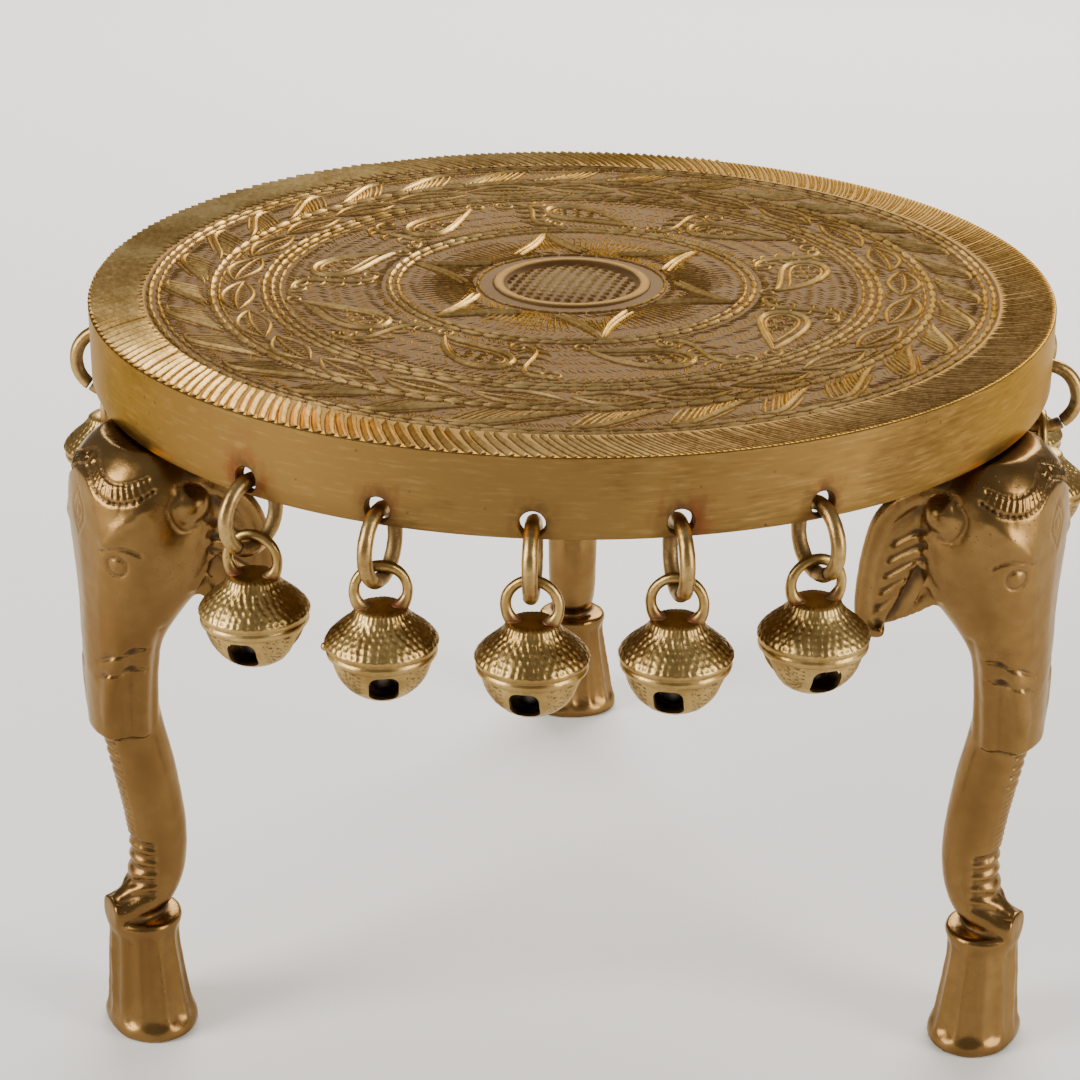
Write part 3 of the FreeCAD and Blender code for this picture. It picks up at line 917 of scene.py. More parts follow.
# %% [markdown]
# The crown loop is a ring of wire whose foot was flattened and brazed on, so its wire
# gets thicker towards the root, and a small collar of braze lies round each foot.

# %% Add the crown loop
nothing_selected()
ops.mesh.primitive_torus_add(major_segments=64, minor_segments=18, major_radius=4.9 * MM,
                             minor_radius=1.0 * MM, location=(0, 0, 0),
                             rotation=(math.pi / 2, 0, 0))
loop = settle(bpy.context.object, "crown_loop")
places = vertices_of(loop)
around = np.arctan2(places[:, 0], places[:, 2])
ring_centre = np.stack([4.9 * np.sin(around), 0 * around, 4.9 * np.cos(around)], 1)
root = soft_step(-np.cos(around), 0.1, 0.85)
swell = 1 + 0.38 * root + 0.05 * np.sin(3 * around + 1)
places = ring_centre + (places - ring_centre) * swell[:, None]
places[:, 2] = places[:, 2] * 1.0 + 12.1
places += normals_of(loop) * (0.05 * rough_field(places, 1.4, 5))[:, None]
put_vertices(loop, places)
store(loop, "hollow", np.clip(root * 0.75 - 0.2, 0, 1))
store(loop, "root", root)

collars = []
for side in (-1, 1):
    nothing_selected()
    ops.mesh.primitive_uv_sphere_add(segments=28, ring_count=16, radius=1.6 * MM,
                                     location=(side * 3.35 * MM, 0, 8.75 * MM))
    collar = bpy.context.object
    collar.scale = (1.0, 1.05, 0.5)
    settle(collar, "collar")
    lump = vertices_of(collar)
    put_vertices(collar, lump + normals_of(collar) * (0.16 * rough_field(lump, 1.2, 9 + side))[:, None])
    store(collar, "hollow", np.full(len(lump), 0.42))
    store(collar, "root", np.ones(len(lump)))
    collars.append(collar)
bell = join([bell, loop] + collars, "bell_pattern")
smooth(bell, 60)
print("bell pattern", faces_of(bell), "faces")

# %% [markdown]
# ## The link pattern
# The links are bent by hand from 2.9 mm wire. A circle is spun round the ring's centre
# and stops short of a full turn, so the two cut ends nearly meet on the outer side.
# Pliers left shallow flats, and the cut end sits a little to one side of the other.

# %% Bend the link
LINK_RING, LINK_WIRE = 6.85, 1.43
GAP_ANGLE = 3.2
nothing_selected()
ops.mesh.primitive_circle_add(vertices=24, radius=LINK_WIRE * MM, fill_type="NGON",
                              location=(0, -LINK_RING * MM, 0), rotation=(0, 0, 0))
link = bpy.context.object
ops.object.mode_set(mode="EDIT")
ops.mesh.select_all(action="SELECT")
ops.mesh.inset(thickness=0.3 * MM)
ops.mesh.select_all(action="SELECT")
ops.mesh.spin(steps=104, angle=math.radians(360 - GAP_ANGLE), center=(0, 0, 0),
              axis=(1, 0, 0))
ops.mesh.select_all(action="SELECT")
ops.mesh.remove_doubles(threshold=0.000005)
ops.mesh.normals_make_consistent(inside=False)
ops.object.mode_set(mode="OBJECT")
link = settle(link, "link_pattern")
places = vertices_of(link)
print("link", faces_of(link), "faces", places.min(0).round(2), places.max(0).round(2))
turn = np.arctan2(places[:, 2], -places[:, 1])
ring_centre = np.stack([0 * turn, -LINK_RING * np.cos(turn), LINK_RING * np.sin(turn)], 1)
section = places - ring_centre
flats = rough_field(np.stack([turn * 4.5, 0 * turn, 0 * turn], 1), 1.0, 4)
section *= (1 + 0.035 * flats)[:, None]
nicks = np.zeros(len(places))
picker = random.Random(11)
for _ in range(34):
    spot = picker.uniform(-1.2, 1.2) if picker.random() < 0.75 else picker.uniform(-3, 3)
    wide = picker.uniform(0.012, 0.022)
    side = picker.uniform(-1.0, 1.0)
    lobe = soft_step(section[:, 0] / LINK_WIRE * math.copysign(1, side), abs(side) * 0.5 - 0.2, 1.0)
    outer_side = soft_step(np.linalg.norm(places, axis=1), LINK_RING - 0.4, LINK_RING + 1.0)
    nicks = np.maximum(nicks, np.exp(-((turn - spot) / wide) ** 2) * np.maximum(lobe, outer_side))
section *= (1 - 0.035 * nicks)[:, None]
near_end = np.exp(-((np.abs(turn + math.radians(GAP_ANGLE / 2)) - math.radians(GAP_ANGLE / 2))
                    / 0.035) ** 2)
section *= (1 - 0.10 * near_end * (np.linalg.norm(section, axis=1) > LINK_WIRE * 0.9))[:, None]
places = ring_centre + section
places[:, 0] += 0.16 * np.sign(turn) * np.exp(-np.abs(turn) / 0.35)
places += normals_of(link) * (0.03 * rough_field(places, 0.9, 6))[:, None]
put_vertices(link, places)
link.data.transform(Matrix.Rotation(math.radians(52), 4, "X"))
# Painted shade: the inner side of the ring, facing into the loop, is darkened in the stored hollow mark, and the
# outer half stays bright.
unshaded_outer_half = soft_step(np.linalg.norm(places, axis=1), LINK_RING - 0.9, LINK_RING + 0.9)
store(link, "hollow", np.clip(nicks * 0.2 + (1 - unshaded_outer_half) * 0.34 + near_end * 0.4, 0, 1))
smooth(link, 60)

# %% [markdown]
# ## The pellets
# A little iron ball lies loose in every bell and makes it ring. It hardly shows through
# the slots, so a sphere with a rough cast skin is enough.

# %% Cast the pellet
nothing_selected()
ops.mesh.primitive_ico_sphere_add(subdivisions=5, radius=3.12 * MM, location=(0, 0, 0))
pellet = settle(bpy.context.object, "pellet_pattern")
places = vertices_of(pellet)
put_vertices(pellet, places * (1 + 0.012 * rough_field(places, 1.0, 8)
                               - 0.01 * np.abs(rough_field(places, 0.4, 9)))[:, None])
smooth(pellet, 60)

# %% [markdown]
# ## Hanging the bells
# Each bell gets its own copy of the three patterns, turned the way the frame has it: the
# link stands in the plane that runs outwards, and the shell and pellet also carry the
# twist of that bell on its wire, which the axis of the pellet's hinge tells. Small dents
# that differ from bell to bell are pressed into each copy before it is moved.

# %% Hang fifteen bells
def turned_to(point, direction):
    """A matrix that faces -Y along a level direction and moves to a point in mm."""
    angle = math.atan2(direction.x, -direction.y)
    return Matrix.Translation(point * MM) @ Matrix.Rotation(angle, 4, "Z")


def dented(piece, depth, size, seed):
    """Press soft dents of its own into one copy."""
    skin = vertices_of(piece)
    field = rough_field(skin[::1], size, seed)
    put_vertices(piece, skin + normals_of(piece) * (depth * field)[:, None])


bell_pieces = []
for number, name in enumerate(BELLS):
    hole = joint_place(name + "_link_swing")
    hook = joint_place(name + "_shell_swing")
    centre = joint_place(name + "_pellet_roll")
    outward = joint_axis(name + "_shell_swing")
    if outward.dot(Vector((hole.x, hole.y, 0))) < 0:
        outward = -outward
    tumble = joint_axis(name + "_pellet_roll")
    facing = Matrix.Rotation(math.radians(-135), 4, "Z") @ tumble
    link_place = turned_to((hole + hook) / 2, outward)
    shell_place = turned_to(centre, facing)
    low_pellet = centre - Vector((0, 0, centre.z - sum(
        corner.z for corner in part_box(name + "_pellet")) / 2 / MM))
    copies = []
    for pattern, kind, place in ((link, "link", link_place), (bell, "shell", shell_place),
                                 (pellet, "pellet", turned_to(low_pellet, facing))):
        copy = own_copy(pattern, f"{name}_{kind}_visual", Matrix.Identity(4))
        if kind != "pellet":
            dented(copy, 0.05 if kind == "link" else 0.07, 4.5, number + 20)
        copy.data.transform(place)
        if name == "front_bell_2" and kind == "shell":
            nothing_selected()
            ops.mesh.primitive_ico_sphere_add(subdivisions=4, radius=0.85 * MM,
                                              location=(centre + Vector((-10.3, -1.6, 1.3))) * MM)
            copy = join([copy, settle(bpy.context.object, "casting_nub")], copy.name)
        copies.append(copy)
    bell_pieces.append((name, copies))
for pattern in (link, bell, pellet):
    bpy.data.objects.remove(pattern)
print("hung", len(bell_pieces), "bells")

# %% [markdown]
# ## The elephant legs
# One leg is modelled at the front and copied to three places. Its big forms are lofts:
# a tube of ovals for the head, one for the trunk, and a faceted one for the foot. They
# are joined, remeshed into one skin, and then chased like the real casting: folds, eyes
# and ornament are lines that push the skin in or out.

# %% Loft a tube through ovals
def leg_point(out, side, drop):
    """A point of the front leg: out from the axis, to the side, down from the top."""
    return Vector((side, -out, TOP - drop))


def eased(values, share):
    """A value on a smooth curve through evenly numbered values."""
    last = len(values) - 1
    spot = min(last - 1e-6, max(0.0, share * last))
    index, t = int(spot), spot - int(spot)
    a, b = values[max(0, index - 1)], values[index]
    c, d = values[index + 1], values[min(last, index + 2)]
    return 0.5 * (2 * b + (c - a) * t + (2 * a - 5 * b + 4 * c - d) * t * t
                  + (3 * b - a - 3 * c + d) * t ** 3)


def closed_up(piece, name):
    """Weld the seam of a rolled-up grid, cap its ends and turn its faces outwards."""
    ops.object.mode_set(mode="EDIT")
    ops.mesh.select_all(action="SELECT")
    ops.mesh.remove_doubles(threshold=0.000002)
    ops.mesh.select_all(action="DESELECT")
    ops.mesh.select_non_manifold()
    ops.mesh.edge_face_add()
    ops.mesh.select_all(action="SELECT")
    ops.mesh.normals_make_consistent(inside=False)
    ops.object.mode_set(mode="OBJECT")
    return settle(piece, name)


def loft(name, sections, rings, around=48, square=2.0):
    """A closed tube through oval sections of (drop, out, deep, wide, lean)."""
    nothing_selected()
    ops.mesh.primitive_grid_add(x_subdivisions=around, y_subdivisions=rings, size=1.0)
    tube = bpy.context.object
    columns = list(zip(*sections))
    skin = np.empty((rings + 1, around + 1, 3))
    for ring in range(rings + 1):
        drop, out, deep, wide, lean = (eased(column, ring / rings) for column in columns)
        lean = math.radians(lean)
        for step in range(around + 1):
            angle = math.tau * step / around
            c, s = math.cos(angle), math.sin(angle)
            round_off = (abs(c) ** square + abs(s) ** square) ** (-1 / square)
            reach, side = deep * c * round_off, wide * s * round_off
            skin[ring, step] = leg_point(out + reach * math.cos(lean), side,
                                         drop - reach * math.sin(lean))
    put_vertices(tube, skin.reshape(-1, 3))
    return closed_up(tube, name)


def ball(name, centre, size, turn=(0, 0, 0)):
    """An ellipsoid with three half sizes, turned about its middle."""
    nothing_selected()
    ops.mesh.primitive_uv_sphere_add(segments=40, ring_count=24, radius=MM, location=centre * MM)
    piece = bpy.context.object
    piece.scale = size
    piece.rotation_euler = turn
    return settle(piece, name)


HEAD = [(17.3, 94.5, 9.4, 11.6, 0), (19.5, 95.0, 11.6, 13.8, 0), (23.5, 95.8, 13.9, 15.6, 0),
        (29.0, 96.3, 14.5, 16.4, 0), (35.0, 96.6, 14.4, 16.4, 0), (41.0, 97.0, 13.7, 15.5, 0),
        (47.0, 98.0, 12.4, 13.8, 0), (53.0, 100.6, 9.7, 11.8, 0), (59.0, 102.8, 7.8, 10.0, 0),
        (65.0, 103.4, 7.3, 8.7, 0), (72.0, 103.6, 7.1, 7.9, 0), (79.4, 103.6, 7.1, 7.6, 0)]
TRUNK = [(76.0, 102.4, 6.2, 6.4, -6), (82.0, 101.4, 6.3, 6.5, -8), (89.0, 100.0, 6.4, 6.5, -9),
         (96.0, 98.8, 6.3, 6.3, -7), (103.0, 97.9, 6.2, 6.2, -3), (109.0, 97.8, 6.1, 6.1, 4),
         (114.0, 98.5, 5.9, 6.0, 16), (118.0, 100.2, 5.5, 5.7, 36), (120.8, 103.0, 4.8, 5.3, 60),
         (122.0, 106.0, 4.1, 4.7, 80), (122.0, 109.2, 3.5, 4.1, 92)]
FOOT = [(123.3, 101.6, 7.3, 7.9, 0), (124.4, 101.6, 7.9, 8.6, 0), (126.4, 101.7, 7.5, 8.3, 0),
        (131.0, 101.8, 7.7, 8.8, 0), (138.0, 101.6, 8.3, 9.9, 0), (143.5, 101.4, 8.8, 10.8, 0),
        (146.6, 101.3, 9.3, 11.4, 0), (149.98, 101.2, 9.6, 11.8, 0)]
head = loft("head", HEAD, 66, 56, 2.25)
trunk = loft("trunk", TRUNK, 60, 44)
foot = loft("foot", FOOT, 36, 64)
places = vertices_of(foot)
spin_angle = np.arctan2(-places[:, 1] - 101.6, places[:, 0])
facet = math.tau / 12
edge = np.cos(facet / 2) / np.cos((spin_angle % facet) - facet / 2)
share = soft_step(TOP - places[:, 2], 125.5, 128.0) * soft_step(places[:, 2], 2.2, 4.2)
spot = np.array([0.0, -101.6, 0.0])
flat = places - spot
flat[:, :2] *= (1 - share * (1 - edge) * 3.2)[:, None]
put_vertices(foot, flat + spot)
print("lofts", faces_of(head), faces_of(trunk), faces_of(foot))

# %% [markdown]
# The smaller forms are balls, short lofts and plates set into the head: the two domes of
# the forehead, the brows, cheeks, temple knobs behind the eyes, the tusk sockets with
# their short tusks, the mouth's fold, and the pad that is screwed under the top.

# %% Add the small forms of the head
forms = [head, trunk, foot]
for side in (-1, 1):
    forms.append(ball("dome", leg_point(101.5, side * 5.6, 26.0), (8.0, 7.0, 7.4)))
    forms.append(ball("eye", leg_point(104.2, side * 9.4, 39.2), (2.7, 2.7, 2.6),
                      (0, 0, side * -0.8)))
    forms.append(ball("cheek", leg_point(98.4, side * 7.4, 44.5), (6.4, 7.2, 8.0),
                      (0.25, side * 0.1, 0)))
    forms.append(ball("temple", leg_point(92.6, side * 13.9, 27.6), (4.0, 4.2, 4.2)))
    tusk = loft("tusk", [(55.0, 104.6, 3.2, 3.3, -10), (62.0, 106.2, 2.9, 3.0, -8),
                         (69.0, 107.4, 2.5, 2.6, -4), (75.5, 107.8, 2.0, 2.1, 2),
                         (80.4, 107.4, 1.3, 1.4, 8)], 20, 20)
    skin = vertices_of(tusk)
    skin[:, 0] += side * (6.4 - 2.4 * soft_step(TOP - skin[:, 2], 57.0, 80.0))
    put_vertices(tusk, skin)
    forms.append(tusk)
forms.append(ball("crest", leg_point(105.6, 0, 33.0), (5.0, 4.6, 8.0)))

nothing_selected()
ops.mesh.primitive_cube_add(size=1.0, location=leg_point(83.6, 0, 10.75) * MM)
pad = bpy.context.object
pad.scale = Vector((28.0, 25.0, 4.4)) * MM
settle(pad, "pad")
apply_modifier(pad, "BEVEL", width=1.0 * MM, segments=2, limit_method="NONE")
forms.append(pad)
forms.append(loft("neck", [(12.4, 89.4, 7.4, 11.3, 0), (17.0, 89.2, 7.4, 11.4, 0),
                           (22.0, 89.4, 7.6, 11.9, 0), (28.0, 90.5, 7.6, 12.4, 0)], 16, 40))


# %% [markdown]
# ## The ears
# An ear is a leaf that hangs back from the temple. Its outline is drawn as two edges,
# front and back, and the rows between them are cupped. A thick rolled rim, lofted along
# the back edge, frames the cup.

# %% Model an ear
EAR_FRONT = [(24.0, 93.5), (29.0, 94.0), (35.0, 94.4), (41.0, 94.4), (46.4, 93.2), (50.4, 89.6),
             (54.0, 84.0), (56.6, 79.4)]
EAR_BACK = [(23.6, 88.0), (26.6, 83.6), (31.0, 79.8), (37.0, 77.2), (43.5, 76.0), (49.6, 75.6),
            (54.2, 75.9), (56.6, 76.8)]
RIM = [(22.2, 92.6, 1.9), (24.2, 88.0, 2.3), (27.4, 83.4, 2.4), (32.2, 79.6, 2.3),
       (38.6, 77.6, 2.1), (45.2, 76.6, 2.0), (51.0, 76.3, 2.0), (54.8, 77.0, 1.9),
       (56.2, 78.8, 1.6), (55.8, 81.0, 1.2)]


def ear_leaf(side):
    """The cupped leaf of one ear, closed, with its outer face away from the head."""
    rows, cross = 60, 34
    nothing_selected()
    ops.mesh.primitive_grid_add(x_subdivisions=2 * cross, y_subdivisions=rows, size=1.0)
    leaf = bpy.context.object
    skin = np.empty((rows + 1, 2 * cross + 1, 3))
    for row in range(rows + 1):
        t = row / rows
        front_drop, front_out = (eased(column, t) for column in zip(*EAR_FRONT))
        back_drop, back_out = (eased(column, t) for column in zip(*EAR_BACK))
        ends = math.sin(math.pi * min(1, max(0, t * 0.985 + 0.0075))) ** 0.5
        for step in range(2 * cross + 1):
            across = step / cross if step <= cross else 2 - step / cross
            out = front_out + (back_out - front_out) * across
            drop = front_drop + (back_drop - front_drop) * across
            base = 12.9 + 0.9 * across - 0.9 * math.sin(math.pi * across) * ends
            face = base + 0.7 * ends ** 2 if step <= cross else base - 2.0
            skin[row, step] = leg_point(out, side * face, drop)
    put_vertices(leaf, skin.reshape(-1, 3))
    return closed_up(leaf, "ear")


def ear_rim(side):
    """A thick rolled rim along the back edge of one ear."""
    rings, around = 70, 18
    nothing_selected()
    ops.mesh.primitive_grid_add(x_subdivisions=around, y_subdivisions=rings, size=1.0)
    tube = bpy.context.object
    columns = list(zip(*RIM))
    line = [[eased(column, ring / rings) for column in columns] for ring in range(rings + 1)]
    skin = np.empty((rings + 1, around + 1, 3))
    for ring, (drop, out, thick) in enumerate(line):
        before, after = line[max(0, ring - 1)], line[min(rings, ring + 1)]
        along = Vector((after[1] - before[1], after[0] - before[0])).normalized()
        for step in range(around + 1):
            angle = math.tau * step / around
            level, height = thick * math.cos(angle), thick * 0.85 * math.sin(angle)
            skin[ring, step] = leg_point(out - level * along.y, side * (13.6 + height),
                                         drop + level * along.x)
    put_vertices(tube, skin.reshape(-1, 3))
    return closed_up(tube, "rim")


for side in (-1, 1):
    forms += [ear_leaf(side), ear_rim(side)]
leg = join(forms, "leg_pattern")
apply_modifier(leg, "REMESH", mode="VOXEL", voxel_size=0.47 * MM)
apply_modifier(leg, "CORRECTIVE_SMOOTH", iterations=12, smooth_type="LENGTH_WEIGHTED",
               use_only_smooth=True)
print("leg skin", faces_of(leg), "faces")

# %% [markdown]
# ## Chasing the legs
# The chaser's lines are drawn as a few points near the skin. Each line is sampled, laid
# onto the skin, and every point of the skin near it is pushed in or out along its normal:
# a narrow push in is a cut line, a wide push out a fold.

# %% Chase lines into the leg
def laid_on(piece, line):
    """A smooth line through points (out, side, drop), laid on the skin of a piece."""
    columns = list(zip(*line))
    length = sum((Vector(a) - Vector(b)).length for a, b in zip(line, line[1:]))
    count = max(2, int(length / 0.3))
    spots = [leg_point(*(eased(column, step / count) for column in columns))
             for step in range(count + 1)]
    return [piece.closest_point_on_mesh(spot * MM)[1] / MM for spot in spots]


def chase(lines, width, depth, both=True):
    """Push the leg's skin near some lines in or out by a depth in mm."""
    if both:
        lines = lines + [[(out, -side, drop) for out, side, drop in line] for line in lines]
    spots = [spot for line in lines for spot in laid_on(leg, line)]
    tree = kdtree.KDTree(len(spots))
    for index, spot in enumerate(spots):
        tree.insert(spot, index)
    tree.balance()
    skin = vertices_of(leg)
    low = np.min([tuple(spot) for spot in spots], axis=0) - 3 * width
    high = np.max([tuple(spot) for spot in spots], axis=0) + 3 * width
    near = np.nonzero(np.all((skin > low) & (skin < high), axis=1))[0]
    push = np.zeros(len(skin))
    for index in near:
        reach = tree.find(skin[index])[2]
        push[index] = depth * math.exp(-(reach / width) ** 2)
    put_vertices(leg, skin + normals_of(leg) * push[:, None])


def circle_at(out, side, drop, radius, wide=1.0):
    """A closed ring of points that lie beside the head, seen half from the front."""
    points = []
    for step in range(13):
        angle = math.tau * step / 12
        level = radius * wide * math.cos(angle)
        points.append((out + level * 0.6, side - level * 0.8, drop + radius * math.sin(angle)))
    return points


chase([[(102.0, 14.0, 27.5), (105.4, 12.4, 31.0), (108.2, 9.6, 34.6)]], 1.9, 0.6)
chase([[(110.6, 0, 36.0), (110.2, 0, 46.0), (110.2, 0, 54.0), (109.8, 0, 64.0)]], 2.6, 0.35)
chase([circle_at(106.6, 10.8, 39.2, 2.1),
       [(102.8, 13.6, 36.4), (105.0, 12.6, 35.2), (107.6, 10.4, 35.4), (109.0, 8.4, 36.6)]],
      0.42, -0.42)
chase([[(106.6, 10.8, 39.1), (106.7, 10.7, 39.3)]], 0.8, 0.3)
UPPER = [(105.8, 0.5, 18.8), (106.8, 3.4, 19.8), (107.0, 6.6, 21.6), (105.8, 9.4, 22.8),
         (103.4, 12.0, 22.6), (100.6, 13.8, 21.0)]
LOWER = [(108.4, 0.5, 21.8), (109.0, 3.8, 23.0), (108.6, 7.2, 25.2), (106.4, 10.4, 26.4),
         (103.2, 13.2, 25.8), (99.8, 15.0, 23.6)]
chase([LOWER], 0.42, -0.5)
chase([UPPER], 0.4, -0.3)
ticks = []
for step in range(17):
    upper, lower = ([eased(column, (step + 0.5) / 17) for column in zip(*edge)]
                    for edge in (UPPER, LOWER))
    ticks.append([tuple(upper), tuple(lower)])
chase(ticks, 0.3, -0.36)
chase([[(112.0, 0, 26.0), (111.4, 2.8, 30.6), (111.0, 0, 35.6)],
       [(112.0, 0, 28.8), (111.4, 1.3, 30.8), (111.2, 0, 33.2)]], 0.36, -0.36)
chase([[(101.0, 14.0, 60.0), (104.5, 10.0, 59.2), (108.0, 6.6, 60.4), (110.0, 4.0, 62.4)],
       [(101.0, 13.0, 64.6), (104.5, 9.6, 63.4), (108.0, 6.4, 64.2), (110.0, 3.6, 66.0)]],
      0.5, -0.45)
chase([[(98.6, 10.0, 55.0), (98.4, 8.0, 62.0), (98.8, 7.0, 70.0), (99.6, 6.4, 78.0)],
       [(104.4, 9.6, 57.0), (104.6, 8.6, 66.0), (104.8, 8.0, 78.4)]], 1.3, -0.42)
chase([[(101.4, 10.2, 56.0), (101.6, 8.4, 64.0), (101.8, 8.2, 71.0), (102.0, 8.0, 79.4)]],
      1.2, 0.45)
chase([[(108.6 - 0.16 * drop, 3.9, 82.4 + 2.3 * step), (110.0 - 0.16 * drop, 0, 82.0 + 2.3 * step),
        (108.6 - 0.16 * drop, -3.9, 82.4 + 2.3 * step)]
       for step in range(4) for drop in (2.3 * step,)], 0.45, -0.45, both=False)
chase([[(107.0 - 0.12 * drop, 3.4, 91.6 + drop), (107.8 - 0.12 * drop, 0, 91.2 + drop),
        (107.0 - 0.12 * drop, -3.4, 91.6 + drop)]
       for step in range(12) for drop in (1.3 * step,)], 0.34, -0.26, both=False)
chase([[(101.6, 6.4, 106.6 + drop), (105.0 + 0.3 * drop, 3.4, 106.2 + drop),
        (106.0 + 0.3 * drop, 0, 105.8 + drop), (105.0 + 0.3 * drop, -3.4, 106.2 + drop),
        (101.6, -6.4, 106.6 + drop)]
       for step in range(5) for drop in (2.7 * step,)], 0.95, -0.62, both=False)
chase([[(89.6 - 0.8 * step, 14.6, 31.4 + 3.7 * step), (86.0 - 0.8 * step, 14.0, 33.4 + 3.7 * step),
        (82.4 - 0.7 * step, 14.0, 36.2 + 3.7 * step)] for step in range(5)], 0.7, -0.38)
chase([[(89.2 - 0.8 * step, 14.6, 33.2 + 3.7 * step), (85.6 - 0.8 * step, 14.0, 35.2 + 3.7 * step),
        (82.0 - 0.7 * step, 14.0, 38.0 + 3.7 * step)] for step in range(5)], 0.7, 0.25)
chase([[(95.4, 18.0, 23.4), (97.4, 18.0, 27.6), (95.4, 18.0, 31.8), (91.6, 18.0, 32.4)]],
      0.7, -0.3)
places = vertices_of(leg)
places[:, 1] += 0.4 * np.maximum(0, -places[:, 1] - 109.4)
put_vertices(leg, places + normals_of(leg) * (0.05 * rough_field(places, 2.6, 31)
                                              + 0.02 * rough_field(places, 0.9, 32))[:, None])
cavity(leg, "hollow", 7, 0.36)
# Painted shade: the leg's inner side just under the stool's top is stored as fully hollow, so it renders dark like
# the shade under the top.
painted_shade_under_top = soft_step(-places[:, 1], 94.5, 91.5) * soft_step(places[:, 2], 126.5, 129.5)
store(leg, "hollow", np.maximum(painted_shade_under_top, [value.value for value
                                            in leg.data.attributes["hollow"].data]))
smooth(leg, 60)

# %% [markdown]
# ## Three legs
# The pattern stands at the front. The real legs stand under the left and right of the
# front and at the back, so each copy is turned about the upright axis.

# %% Set up three legs
leg_pieces = []
for name in LEGS:
    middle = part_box(name)
    centre = (middle[0] + middle[1]) / 2
    leg_angle = math.atan2(centre.x, -centre.y)
    leg_angle = math.radians(60 * round(math.degrees(leg_angle) / 60))
    leg_pieces.append((name, own_copy(leg, f"{name}_visual", Matrix.Rotation(leg_angle, 4, "Z"))))
bpy.data.objects.remove(leg)


# %% [markdown]
# ## Materials
# All the metal is one family of brass with a different past. Polished relief is pale and
# bright, the ground between keeps its brown patina, and the apron shows the soft bands of
# a buffing wheel. A small class wraps a shader socket, so that the arithmetic of a
# material can be written like ordinary sums.

# %% Shader arithmetic
class Value:
    """A number that varies over a surface, with the usual operators."""

    def __init__(self, tree, source):
        self.tree, self.source = tree, source

    def combine(self, kind, other=None, third=None, swap=False):
        """One math node fed by this value and up to two others."""
        node = self.tree.nodes.new("ShaderNodeMath")
        node.operation = kind
        terms = [self, other, third]
        if swap:
            terms = [other, self, third]
        for socket, term in zip(node.inputs, terms):
            if isinstance(term, Value):
                self.tree.links.new(term.source, socket)
            elif term is not None:
                socket.default_value = term
        return Value(self.tree, node.outputs[0])

    def __add__(self, other):
        return self.combine("ADD", other)

    def __radd__(self, other):
        return self.combine("ADD", other)

    def __sub__(self, other):
        return self.combine("SUBTRACT", other)

    def __rsub__(self, other):
        return self.combine("SUBTRACT", other, swap=True)

    def __mul__(self, other):
        return self.combine("MULTIPLY", other)

    def __rmul__(self, other):
        return self.combine("MULTIPLY", other)

    def __truediv__(self, other):
        return self.combine("DIVIDE", other)

    def __rtruediv__(self, other):
        return self.combine("DIVIDE", other, swap=True)

    def __pow__(self, other):
        return self.combine("POWER", other)

    def clamped(self):
        """The value kept between 0 and 1."""
        node = self.tree.nodes.new("ShaderNodeClamp")
        self.tree.links.new(self.source, node.inputs["Value"])
        return Value(self.tree, node.outputs[0])

    def rise(self, start, stop):
        """A soft step that goes from 0 at start to 1 at stop."""
        node = self.tree.nodes.new("ShaderNodeMapRange")
        node.interpolation_type = "SMOOTHSTEP"
        self.tree.links.new(self.source, node.inputs["Value"])
        node.inputs["From Min"].default_value = start
        node.inputs["From Max"].default_value = stop
        return Value(self.tree, node.outputs[0])

    def largest(self, other):
        """The larger of two values."""
        return self.combine("MAXIMUM", other)

    def smallest(self, other):
        """The smaller of two values."""
        return self.combine("MINIMUM", other)


